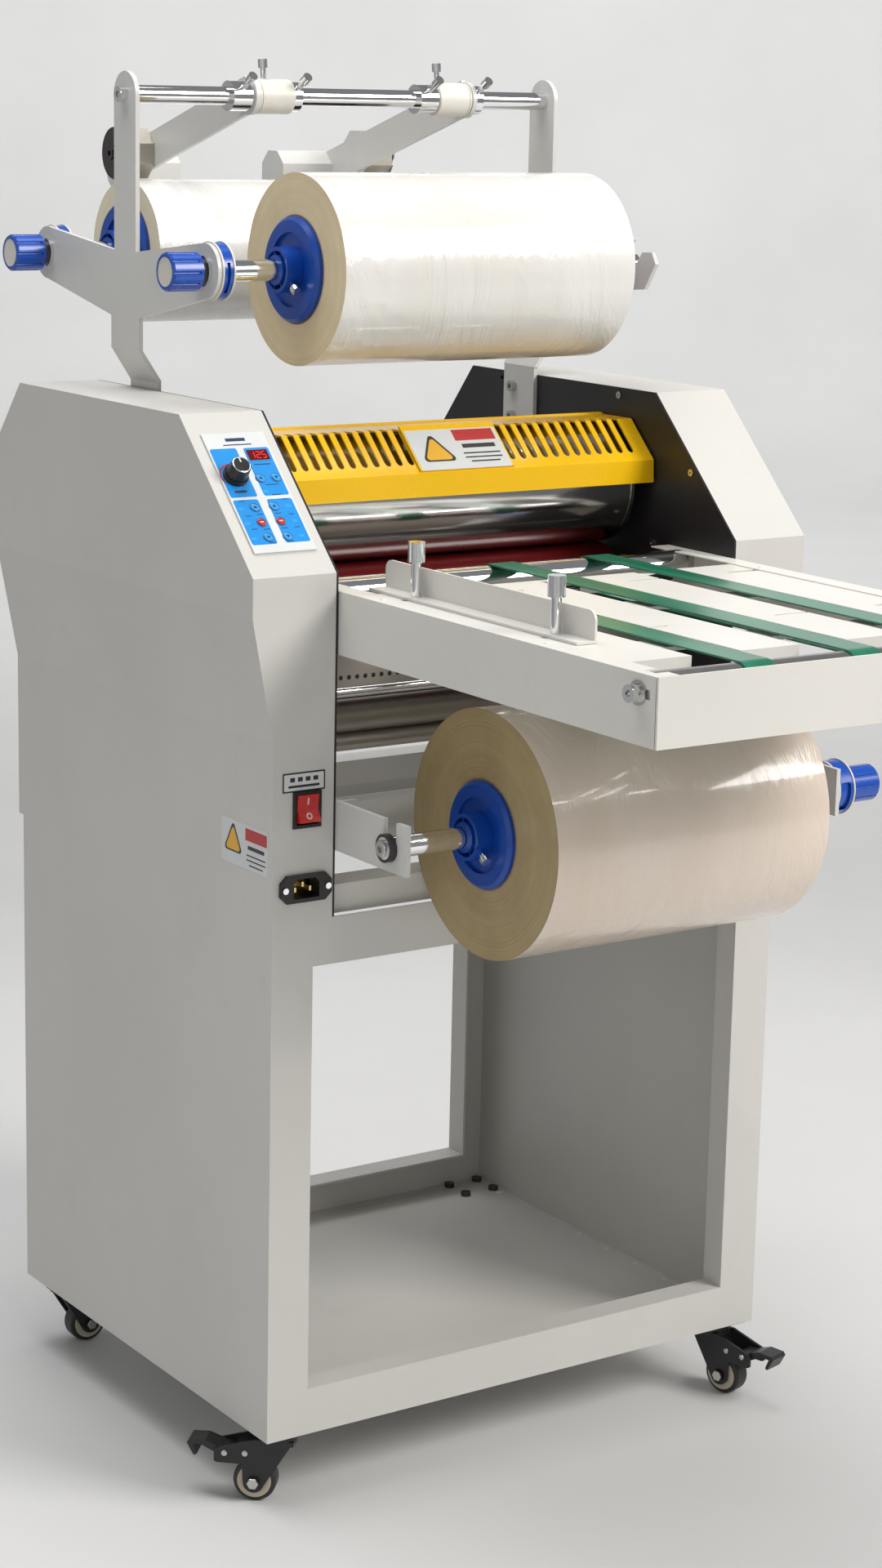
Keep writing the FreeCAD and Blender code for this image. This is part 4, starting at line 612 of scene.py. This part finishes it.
def holed_slab(bm, outline, holes, to_world, low, high):
    """As slab, with each hole's outline left open right through."""
    loops = [outline] + list(holes)
    levels = []
    for height in (low, high):
        rings = [ring(bm, loop, to_world, height) for loop in loops]
        edges = [bm.edges.new((one[k], one[(k + 1) % len(one)])) for one in rings
                 for k in range(len(one))]
        bmesh.ops.triangle_fill(bm, use_beauty=True, use_dissolve=False, edges=edges)
        levels.append(rings)
    for lower, upper in zip(*levels):
        band(bm, lower, upper)
    bmesh.ops.recalc_face_normals(bm, faces=bm.faces)


def close_rows(bm, rows):
    """Join rings into a hoop, the last one back to the first."""
    for near, far in zip(rows, rows[1:] + rows[:1]):
        band(bm, near, far)


def cap_rows(bm, rows):
    """Join rings into a solid whose first and last rings are closed by a face."""
    for near, far in zip(rows, rows[1:]):
        band(bm, near, far)
    bm.faces.new(rows[0][::-1])
    bm.faces.new(rows[-1])


def shifted(points, dx, dy):
    return [(a + dx, b + dy) for a, b in points]


def circle(radius, count, dx=0.0, dy=0.0):
    return [(dx + radius * math.cos(2 * math.pi * k / count),
             dy + radius * math.sin(2 * math.pi * k / count)) for k in range(count)]


def patch(x, y, wide, tall, radius, steps=6):
    """A rounded rectangle about a point."""
    return shifted(rounded(wide, tall, radius, steps), x, y)


def print_flat(name, outlines, to_world, low, high, material, body="root"):
    """A piece made of flat outlines, printed or stuck on the surface that to_world maps."""
    def build(bm):
        for outline in outlines:
            slab(bm, outline, to_world, low, high)
    piece(name, build, material, body=body)


PANEL_T = 1.5
INK = 0.06
PRINT = PANEL_T + 0.01      # underside of the lowest ink
BUTTON_HOLE_R = 4.3
# Middle X, distance up the slant, width and height of each printed part.
BLOCKS = ((-255.0, 103.7, 24.5, 49.5), (-225.0, 103.5, 23.1, 49.0), (-255.5, 53.9, 23.0, 44.8),
          (-224.9, 53.7, 22.9, 43.8))
INDICATORS = ((-233.5, 83.5), (-262.9, 67.7), (-262.9, 52.8), (-262.9, 37.7), (-219.4, 67.7),
              (-219.4, 52.8), (-219.4, 37.7))
DASHES = [(-240.0, 137.0, 18.0, 3.2), (-240.0, 131.8, 26.0, 1.0), (-225.5, 110.8, 15.0, 1.0),
          (-256.0, 84.6, 11.0, 2.2), (-225.0, 90.0, 12.0, 0.8), (-225.0, 79.8, 9.0, 0.8)]
for row in (61.2, 46.2, 33.0):
    DASHES += [(-259.0, row + 14, 5.0, 0.7), (-248.0, row, 6.0, 0.7), (-231.5, row, 6.0, 0.7),
               (-220.0, row + 13.5, 5.0, 0.7)]
DISPLAY_X = (-235.0, -216.0)
DISPLAY_S = (115.0, 125.5)


def panel_print():
    """Flat printed blocks, dashes and indicators of the control panel: no lettering."""
    buttons = list(button_places().values())

    def blocks(bm):
        for x, s, wide, tall in BLOCKS:
            holes = [circle(BUTTON_HOLE_R, 28, bx, bs) for bx, bs in buttons
                     if abs(bx - x) < wide / 2 and abs(bs - s) < tall / 2]
            holed_slab(bm, patch(x, s, wide, tall, 2.0), holes, on_slant, PRINT, PRINT + INK)
    piece("panel_blocks", blocks, BLUE_PRINT)
    print_flat("panel_indicators", [patch(x, s, 4.6, 2.6, 0.5) for x, s in INDICATORS], on_slant,
               PRINT + INK, PRINT + 2 * INK, PALE_PRINT)
    dashes = [patch(x, s, wide, tall, min(0.3, tall / 3), 2) for x, s, wide, tall in DASHES]
    print_flat("panel_dashes", dashes, on_slant, PRINT + INK, PRINT + 2 * INK, DARK_PRINT)


# What is printed on each button.
BUTTONS = {"temperature_up": "up", "temperature_down": "down", "nip_up": "up", "nip_stop": "bar",
           "nip_down": "down", "forward": "up", "stop": "bar", "reverse": "down"}


def button_places():
    """Each button's X and its distance up the slant."""
    up = Vector((0, math.cos(SLANT), math.sin(SLANT)))
    base = Vector((0, FRONT_Y, SLANT_LOW_Z))
    places = {}
    for name in BUTTONS:
        low, high = (Vector(v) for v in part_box("button_" + name))
        centre = ((low + high) / 2 - HOME) * 1000
        places[name] = (centre.x, (centre - base).dot(up))
    return places


RING_PROFILE = ((4.0, 0.02), (4.0, 0.35), (4.55, 0.35), (4.75, 0.02))    # radius, height
BUTTON_TOP = 0.92           # above the panel's plate


def button_marks():
    """A ring round each button, and the arrow or bar printed on top of it."""
    def ring_of(x, s):
        def build(bm):
            close_rows(bm, [ring(bm, circle(radius, 36, x, s), on_slant, PANEL_T + height)
                            for radius, height in RING_PROFILE])
        return build

    def mark_of(kind, x, s):
        if kind == "bar":
            return patch(x, s, 3.2, 1.0, 0.2, 2)
        turn = 1 if kind == "up" else -1
        outline = [(x - 1.9, s - turn * 1.1), (x + 1.9, s - turn * 1.1), (x, s + turn * 1.7)]
        return outline[::turn]

    top = PANEL_T + BUTTON_TOP
    for name, (x, s) in button_places().items():
        kind = BUTTONS[name]
        piece("ring_" + name, ring_of(x, s), RING_PRINT)
        print_flat("mark_" + name, [mark_of(kind, x, s)], on_slant, top, top + INK,
                   WHITE_PRINT if kind == "bar" else DARK_PRINT, body="button_" + name)


SEGMENTS = {"1": "bc", "2": "abged", "5": "afgcd"}
DIGIT_W, DIGIT_H, DIGIT_LINE, DIGIT_STEP = 3.2, 6.4, 0.75, 5.2
GLASS = PANEL_T + 0.42


def display():
    """The display's window and a made-up number in seven-segment digits."""
    mid_x = sum(DISPLAY_X) / 2
    mid_s = sum(DISPLAY_S) / 2
    glass = patch(mid_x, mid_s, DISPLAY_X[1] - DISPLAY_X[0], DISPLAY_S[1] - DISPLAY_S[0], 0.8)
    print_flat("display_glass", [glass], on_slant, GLASS, GLASS + 0.1, DISPLAY)
    wide, tall, line = DIGIT_W, DIGIT_H, DIGIT_LINE
    bars = {"a": (0, tall / 2, wide, line), "g": (0, 0, wide, line),
            "d": (0, -tall / 2, wide, line), "b": (wide / 2, tall / 4, line, tall / 2),
            "c": (wide / 2, -tall / 4, line, tall / 2), "f": (-wide / 2, tall / 4, line, tall / 2),
            "e": (-wide / 2, -tall / 4, line, tall / 2)}
    strokes = []
    for place, digit in zip((-DIGIT_STEP, 0.0, DIGIT_STEP), "125"):
        for key in SEGMENTS[digit]:
            dx, ds, w, h = bars[key]
            strokes.append(patch(mid_x + place + dx, mid_s + ds, w - 0.2, h - 0.2, 0.2, 2))
    print_flat("display_digits", strokes, on_slant, GLASS + 0.11, GLASS + 0.16, DIGITS)


SPEED_S = 100.0
ARC_R, ARC_STEPS = (12.0, 13.2), 30
RIM_PROFILE = ((6.9, 14.55), (6.9, 15.2), (7.2, 15.4), (7.7, 15.2), (7.9, 14.55))


def speed_scale():
    """Red arc beside the speed knob, the pointer on its top and the rim of its cap."""
    low, high = (Vector(v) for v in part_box("speed_knob"))
    x = ((low + high) / 2 - HOME).x * 1000

    def arc(radius):
        return [(x + radius * math.cos(math.radians(60 + 150 * k / ARC_STEPS)),
                 SPEED_S + radius * math.sin(math.radians(60 + 150 * k / ARC_STEPS)))
                for k in range(ARC_STEPS + 1)]
    print_flat("speed_arc", [arc(ARC_R[1]) + arc(ARC_R[0])[::-1]], on_slant, PRINT + INK,
               PRINT + 2 * INK, RED_PRINT)
    print_flat("speed_pointer", [patch(x, SPEED_S + 4.4, 1.2, 4.4, 0.4, 3)], on_slant,
               PANEL_T + 15.35, PANEL_T + 15.6, WHITE_PRINT, body="speed_knob")

    def rim(bm):
        close_rows(bm, [ring(bm, circle(radius, 48, x, SPEED_S), on_slant, PANEL_T + height)
                        for radius, height in RIM_PROFILE])
    piece("speed_rim", rim, SILVER_CAP, body="speed_knob")


def on_front(a, b, height):
    """Map onto the housing's front wall: a along X, b up, height outwards."""
    return at(a, FRONT_Y - height, b)


def on_left(a, b, height):
    """Map onto the left cover: a along Y, b up, height outwards."""
    return at(-SIDE_X - height, a, b)


def labels():
    """The plate by the power switch, and the plate on the left cover: no lettering."""
    def front(name, outlines, low, high, material):
        print_flat("switch_plate" + name, outlines, on_front, low, high, material)

    def side(name, outlines, low, high, material):
        print_flat("side_plate" + name, outlines, on_left, low, high, material)
    front("", [patch(-230.8, 562.0, 39.6, 16.0, 0.8)], 0.02, 0.25, BLACK_PRINT)
    front("_face", [patch(-230.8, 562.0, 37.0, 13.4, 0.5)], 0.25, 0.32, WHITE_PRINT)
    words = [patch(-241.5 + 7.2 * k, 564.2, 4.5, 3.6, 0.4, 2) for k in range(4)]
    words.append(patch(-230.8, 558.6, 29.0, 2.0, 0.4, 2))
    front("_dashes", words, 0.32, 0.38, BLACK_PRINT)
    side("", [patch(-178.5, 503.0, 74.0, 37.0, 1.5)], 0.02, 0.25, WHITE_PRINT)
    side("_band", [patch(-197.0, 513.5, 34.0, 10.0, 0.5)], 0.25, 0.31, RED_PRINT)
    side("_edge", [triangle(-160.5, 503.5, 17.5)], 0.25, 0.31, BLACK_PRINT)
    side("_sign", [triangle(-160.5, 503.2, 14.0)], 0.31, 0.36, YELLOW_PRINT)
    rows = ((503.0, 26.0, 3.2), (496.5, 30.0, 1.2), (492.5, 30.0, 1.2), (488.5, 22.0, 1.2))
    side("_rows", [patch(-197.0, z, wide, tall, 0.3, 2) for z, wide, tall in rows], 0.25, 0.30,
         BLACK_PRINT)


def triangle(x, y, size, sign=1, corner=0.16, steps=4):
    """A rounded triangle pointing along sign, about its middle."""
    points = []
    for k in range(3):
        middle = math.radians(90 + 120 * k)
        cx = (1 - 2 * corner) * size * math.cos(middle)
        cy = (1 - 2 * corner) * size * math.sin(middle)
        for j in range(steps + 1):
            angle = middle + math.radians(60) * (2 * j / steps - 1)
            points.append((x + cx + corner * size * math.cos(angle),
                           y + sign * (cy + corner * size * math.sin(angle))))
    return points if sign > 0 else points[::-1]


# The upper and lower ends of the guard's sloping face, as in the CAD.
GUARD_BEND = Vector((0.0, -72.0, 819.0))
GUARD_EDGE = Vector((0.0, -107.0, 785.7))


def on_guard(a, b, height):
    """Map onto the guard's sloping face: a along X, b down the slope from the upper bend."""
    slope = (GUARD_EDGE - GUARD_BEND).normalized()
    off = Vector((0, slope.z, -slope.y))
    point = GUARD_BEND + slope * b + off * height
    return at(a, point.y, point.z)


GUARD_FACE = 1.85           # the sheet's outer face off that line


def guard_plate():
    """Warning plate on the guard: a blank triangle, a band and bars."""
    def add(name, outlines, low, high, material):
        print_flat("guard_plate_" + name, outlines, on_guard, GUARD_FACE + low, GUARD_FACE + high,
                   material, body="roller_guard")
    add("face", [patch(0.0, 25.0, 93.0, 44.0, 1.5)], 0.0, 0.2, WHITE_PRINT)
    add("band", [patch(22.0, 10.5, 42.0, 12.0, 0.6)], 0.2, 0.26, RED_PRINT)
    add("edge", [triangle(-23.0, 27.5, 21.0, -1)], 0.2, 0.26, BLACK_PRINT)
    add("sign", [triangle(-23.0, 27.8, 17.0, -1)], 0.26, 0.31, YELLOW_PRINT)
    rows = ((22.5, 34.0, 4.4), (30.5, 38.0, 1.5), (35.0, 38.0, 1.5), (39.5, 30.0, 1.5))
    add("rows", [patch(22.0, b, wide, tall, 0.4, 2) for b, wide, tall in rows], 0.2, 0.26,
        BLACK_PRINT)


ROCKER_TILT = math.radians(-9.0)
ROCKER_HALF, ROCKER_FACE, ROCKER_RISE = 11.2, 6.0, 3.5    # half height, waist depth, extra at ends
O_PROFILE = ((1.7, 0.0), (1.7, 0.12), (2.6, 0.12), (2.6, 0.0))
MARK_Z = 6.0


def rocker_marks():
    """I and O on the rocker's two halves."""
    low, high = (Vector(v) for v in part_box("rocker_switch"))
    middle = ((low + high) / 2 - HOME) * 1000
    pivot = joint_place("rocker_tilt")

    def on_rocker(a, b, height):
        """Map onto the rocker's face as drawn upright, and then tilt it."""
        y = -ROCKER_FACE - ROCKER_RISE * (abs(b) / ROCKER_HALF) - height
        tilted_y = y * math.cos(ROCKER_TILT) - b * math.sin(ROCKER_TILT)
        tilted_z = y * math.sin(ROCKER_TILT) + b * math.cos(ROCKER_TILT)
        return at(middle.x + a, pivot.y + tilted_y, pivot.z + tilted_z)

    def marks(bm):
        slab(bm, patch(0.0, MARK_Z, 1.2, 5.4, 0.3, 2), on_rocker, 0.0, 0.12)
        close_rows(bm, [ring(bm, circle(radius, 28, 0.0, -MARK_Z), on_rocker, height)
                        for radius, height in O_PROFILE])
    piece("rocker_marks", marks, WHITE_PRINT, body="rocker_switch")


def dome(bm, x, y, z, radius, height, rings=4, sides=18):
    """A low round head on a flat face, open underneath."""
    def level(k):
        angle = math.pi / 2 * k / rings
        outline = [(radius * math.cos(angle) * math.cos(2 * math.pi * j / sides),
                    radius * math.cos(angle) * math.sin(2 * math.pi * j / sides))
                   for j in range(sides)]
        return ring(bm, outline, lambda a, b, h: at(x + a, y + b, z + h), height * math.sin(angle))
    rows = [level(k) for k in range(rings)]
    top = bm.verts.new(at(x, y, z + height))
    for near, far in zip(rows, rows[1:]):
        band(bm, near, far)
    for k in range(sides):
        bm.faces.new((rows[-1][k], rows[-1][(k + 1) % sides], top))


def domes():
    """Rivets on the table's sheet, and weld dots along both sides of the cabinet's floor."""
    def rivets(bm):
        for x in (-190.0, 190.0):
            for y in (-272.0, -491.0):
                dome(bm, x, y, 713.0, 2.6, 1.1)
    piece("table_rivets", rivets, IVORY_LIGHT)

    def welds(bm):
        for k in range(8):
            for x in (250.0, -250.0):
                dome(bm, x, -150.0 + 46.0 * k, 2.0, 3.4, 1.2)
    piece("floor_welds", welds, OFF_WHITE)


WEB_FACE_Y = -120.0
HOLE_COUNT, HOLE_STEP, HOLE_R = 48, 8.1, 2.0
HOLE_X, HOLE_Z = -190.0, 620.0      # the leftmost hole


def web_holes():
    """The row of small holes along the foot of the film guide sheet, drawn as flat black discs:
    painted shade where each hole would show the dark space behind it.
    """
    def on_web(a, b, height):
        return at(a, WEB_FACE_Y - height, b)

    def build(bm):
        for k in range(HOLE_COUNT):
            outline = circle(HOLE_R, 14, HOLE_X + HOLE_STEP * k, HOLE_Z)
            slab(bm, outline, on_web, 0.02, 0.10)
    # Black print discs instead of open holes: painted shade.
    piece("web_holes", build, BLACK_PRINT)


HEAD_SIDES = 36


def hex_cap(bm, to_world, radius, height, socket):
    """A socket cap screw head: rounded rim and a hexagon recess with a floor."""
    rows = [ring(bm, circle(r, HEAD_SIDES), to_world, h)
            for r, h in ((radius, 0.0), (radius, height - 0.8), (radius - 0.8, height))]
    hexagon = []
    for k in range(HEAD_SIDES):
        angle = 2 * math.pi * k / HEAD_SIDES
        reach = socket * math.cos(math.pi / 6) / math.cos((angle % (math.pi / 3)) - math.pi / 6)
        hexagon.append((reach * math.cos(angle), reach * math.sin(angle)))
    rows += [ring(bm, hexagon, to_world, h) for h in (height, height * 0.45)]
    cap_rows(bm, rows)


def shaft_cap():
    """Socket screw on the left end of the lower shaft."""
    axis = joint_place("lower_film_spin")
    end = (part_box("lower_film_shaft")[0][0] - HOME.x) * 1000

    def build(bm):
        hex_cap(bm, lambda a, b, h: at(end - h, axis.y - a, axis.z + b), radius=7.0, height=3.2,
                socket=3.6)
    piece("lower_shaft_screw", build, ZINC, body="lower_film_shaft")


FORK_CHEEK = 12.52          # outer face of a fork's cheek from the wheel's middle
NUT_PROFILE = ((5.4, 0.0), (5.4, 2.6), (4.9, 3.2))
RIVET_PROFILE = ((2.8, 0.0), (2.5, 0.7), (1.6, 1.2))
PEDAL_RIVETS = ((25.0, 25.0), (7.3, 26.0))      # along the trail and up from the wheel's axle


def caster_bolts():
    """Axle nuts, and the pedal rivets of the front casters, on both cheeks of each fork."""
    for corner in CORNERS:
        hub = joint_place("wheel_spin_" + corner)
        swivel = joint_place("swivel_" + corner)
        trail = Vector((hub.x - swivel.x, hub.y - swivel.y, 0)).normalized()
        across = Vector((-trail.y, trail.x, 0))
        rivets = PEDAL_RIVETS if "front" in corner else ()

        def build(bm, hub=hub, trail=trail, across=across, rivets=rivets):
            for side in (-1, 1):
                def head(profile, sides, dx, dz):
                    def to_world(a, b, h):
                        point = hub + trail * (dx + a) + across * side * (FORK_CHEEK + h)
                        return at(point.x, point.y, hub.z + dz + side * b)
                    cap_rows(bm, [ring(bm, circle(r, sides), to_world, h) for r, h in profile])
                head(NUT_PROFILE, 6, 0, 0)
                for dx, dz in rivets:
                    head(RIVET_PROFILE, 20, dx, dz)
        piece("caster_bolts_" + corner, build, ZINC, body="caster_fork_" + corner)


# ---------------------------------------------------------------- stage, light and camera
FLOOR_IN, FLOOR_R = 0.4, 6.5    # metres: the innermost ring, and where the bend begins
BEND_R = 1.5
WALL_TOP = 4.5
FLOOR_STEPS, BEND_STEPS, STAGE_SIDES = 6, 12, 96


def stage():
    """Pale studio paper: a round floor that curves up into a low wall on every side."""
    profile = [(FLOOR_IN + (FLOOR_R - FLOOR_IN) * k / FLOOR_STEPS, 0.0)
               for k in range(FLOOR_STEPS + 1)]
    for k in range(1, BEND_STEPS + 1):
        angle = math.pi / 2 * k / BEND_STEPS
        profile.append((FLOOR_R + BEND_R * math.sin(angle), BEND_R - BEND_R * math.cos(angle)))
    profile.append((FLOOR_R + BEND_R, WALL_TOP))
    mesh = bpy.data.meshes.new("studio_floor")
    bm = bmesh.new()
    rows = [ring(bm, circle(radius, STAGE_SIDES), lambda a, b, z: (a, b, z), height)
            for radius, height in profile]
    bm.faces.new(rows[0])
    for near, far in zip(rows, rows[1:]):
        for k in range(STAGE_SIDES):
            j = (k + 1) % STAGE_SIDES
            bm.faces.new((near[k], far[k], far[j], near[j]))
    bm.to_mesh(mesh)
    bm.free()
    floor = bpy.data.objects.new("studio_floor", mesh)
    bpy.context.collection.objects.link(floor)
    for polygon in mesh.polygons:
        polygon.use_smooth = True
    m = Nodes("studio_paper")
    slow = m.noise(m.coords(), 2.0, 3.0)
    tone = m.ramp(slow, ((0.3, (0.66, 0.66, 0.655)), (0.7, (0.70, 0.70, 0.695))))
    mesh.materials.append(m.out(tone, 0.7, None))


def area(name, place, aim, size, power, colour=(1, 1, 1)):
    """A soft rectangular lamp: place, aim and size in metres, power in watts."""
    data = bpy.data.lights.new(name, "AREA")
    data.shape = "RECTANGLE"
    data.size, data.size_y = size
    data.energy = power
    data.color = colour
    lamp = bpy.data.objects.new(name, data)
    lamp.location = place
    lamp.rotation_euler = (Vector(aim) - Vector(place)).to_track_quat("-Z", "Y").to_euler()
    bpy.context.collection.objects.link(lamp)


def lights():
    """Key from the right, weak fill from the left, one above, and two aimed at the paper."""
    area("key", (1.9, -2.9, 2.9), (0, 0, 0.75), (1.7, 1.7), 138, (1.0, 0.97, 0.94))
    area("side", (-3.2, -1.2, 1.9), (0, 0, 0.7), (2.2, 2.2), 7, (0.95, 0.98, 1.0))
    area("top", (-0.3, 0.4, 3.4), (0, 0, 0.8), (2.2, 2.0), 72)
    area("wall", (2.2, 3.0, 4.0), (4.8, 7.2, 1.8), (2.6, 1.6), 170)
    area("wall_behind", (-2.2, -3.4, 4.3), (-4.8, -7.2, 1.8), (2.6, 1.6), 110)
    world = bpy.data.worlds.new("studio")
    bpy.context.scene.world = world
    world.use_nodes = True
    background = world.node_tree.nodes["Background"]
    background.inputs["Color"].default_value = (0.96, 0.97, 1.0, 1)
    background.inputs["Strength"].default_value = 0.24
    view = bpy.context.scene.view_settings
    view.view_transform = "Standard"
    view.look = "None"


CAMERA_PLACE = (-1495.22, -2291.36, 1105.88)    # millimetres from the cabinet's middle
CAMERA_YAW, CAMERA_PITCH, CAMERA_ROLL = 0.59365, 0.22074, 0.021145      # radians
LENS, SENSOR = 71.496, 36.0                     # millimetres; the sensor's height


def camera():
    """The photograph's viewing angle."""
    data = bpy.data.cameras.new("camera")
    data.sensor_fit = "VERTICAL"
    data.sensor_height = SENSOR
    data.lens = LENS
    data.clip_start = 0.05
    view = bpy.data.objects.new("camera", data)
    forward = Vector((math.sin(CAMERA_YAW) * math.cos(CAMERA_PITCH),
                      math.cos(CAMERA_YAW) * math.cos(CAMERA_PITCH), -math.sin(CAMERA_PITCH)))
    right = Vector((math.cos(CAMERA_YAW), -math.sin(CAMERA_YAW), 0))
    up = right.cross(forward)
    across = right * math.cos(CAMERA_ROLL) + up * math.sin(CAMERA_ROLL)
    rise = up * math.cos(CAMERA_ROLL) - right * math.sin(CAMERA_ROLL)
    turn = Matrix((across, rise, -forward)).transposed().to_4x4()
    view.matrix_world = Matrix.Translation(at(*CAMERA_PLACE)) @ turn
    bpy.context.collection.objects.link(view)
    bpy.context.scene.camera = view


paint_static()
paint_rollers()
paint_film()
paint_slitters()
paint_casters()
paint_controls()
panel_print()
button_marks()
display()
speed_scale()
labels()
guard_plate()
rocker_marks()
domes()
web_holes()
shaft_cap()
caster_bolts()
stage()
lights()
camera()
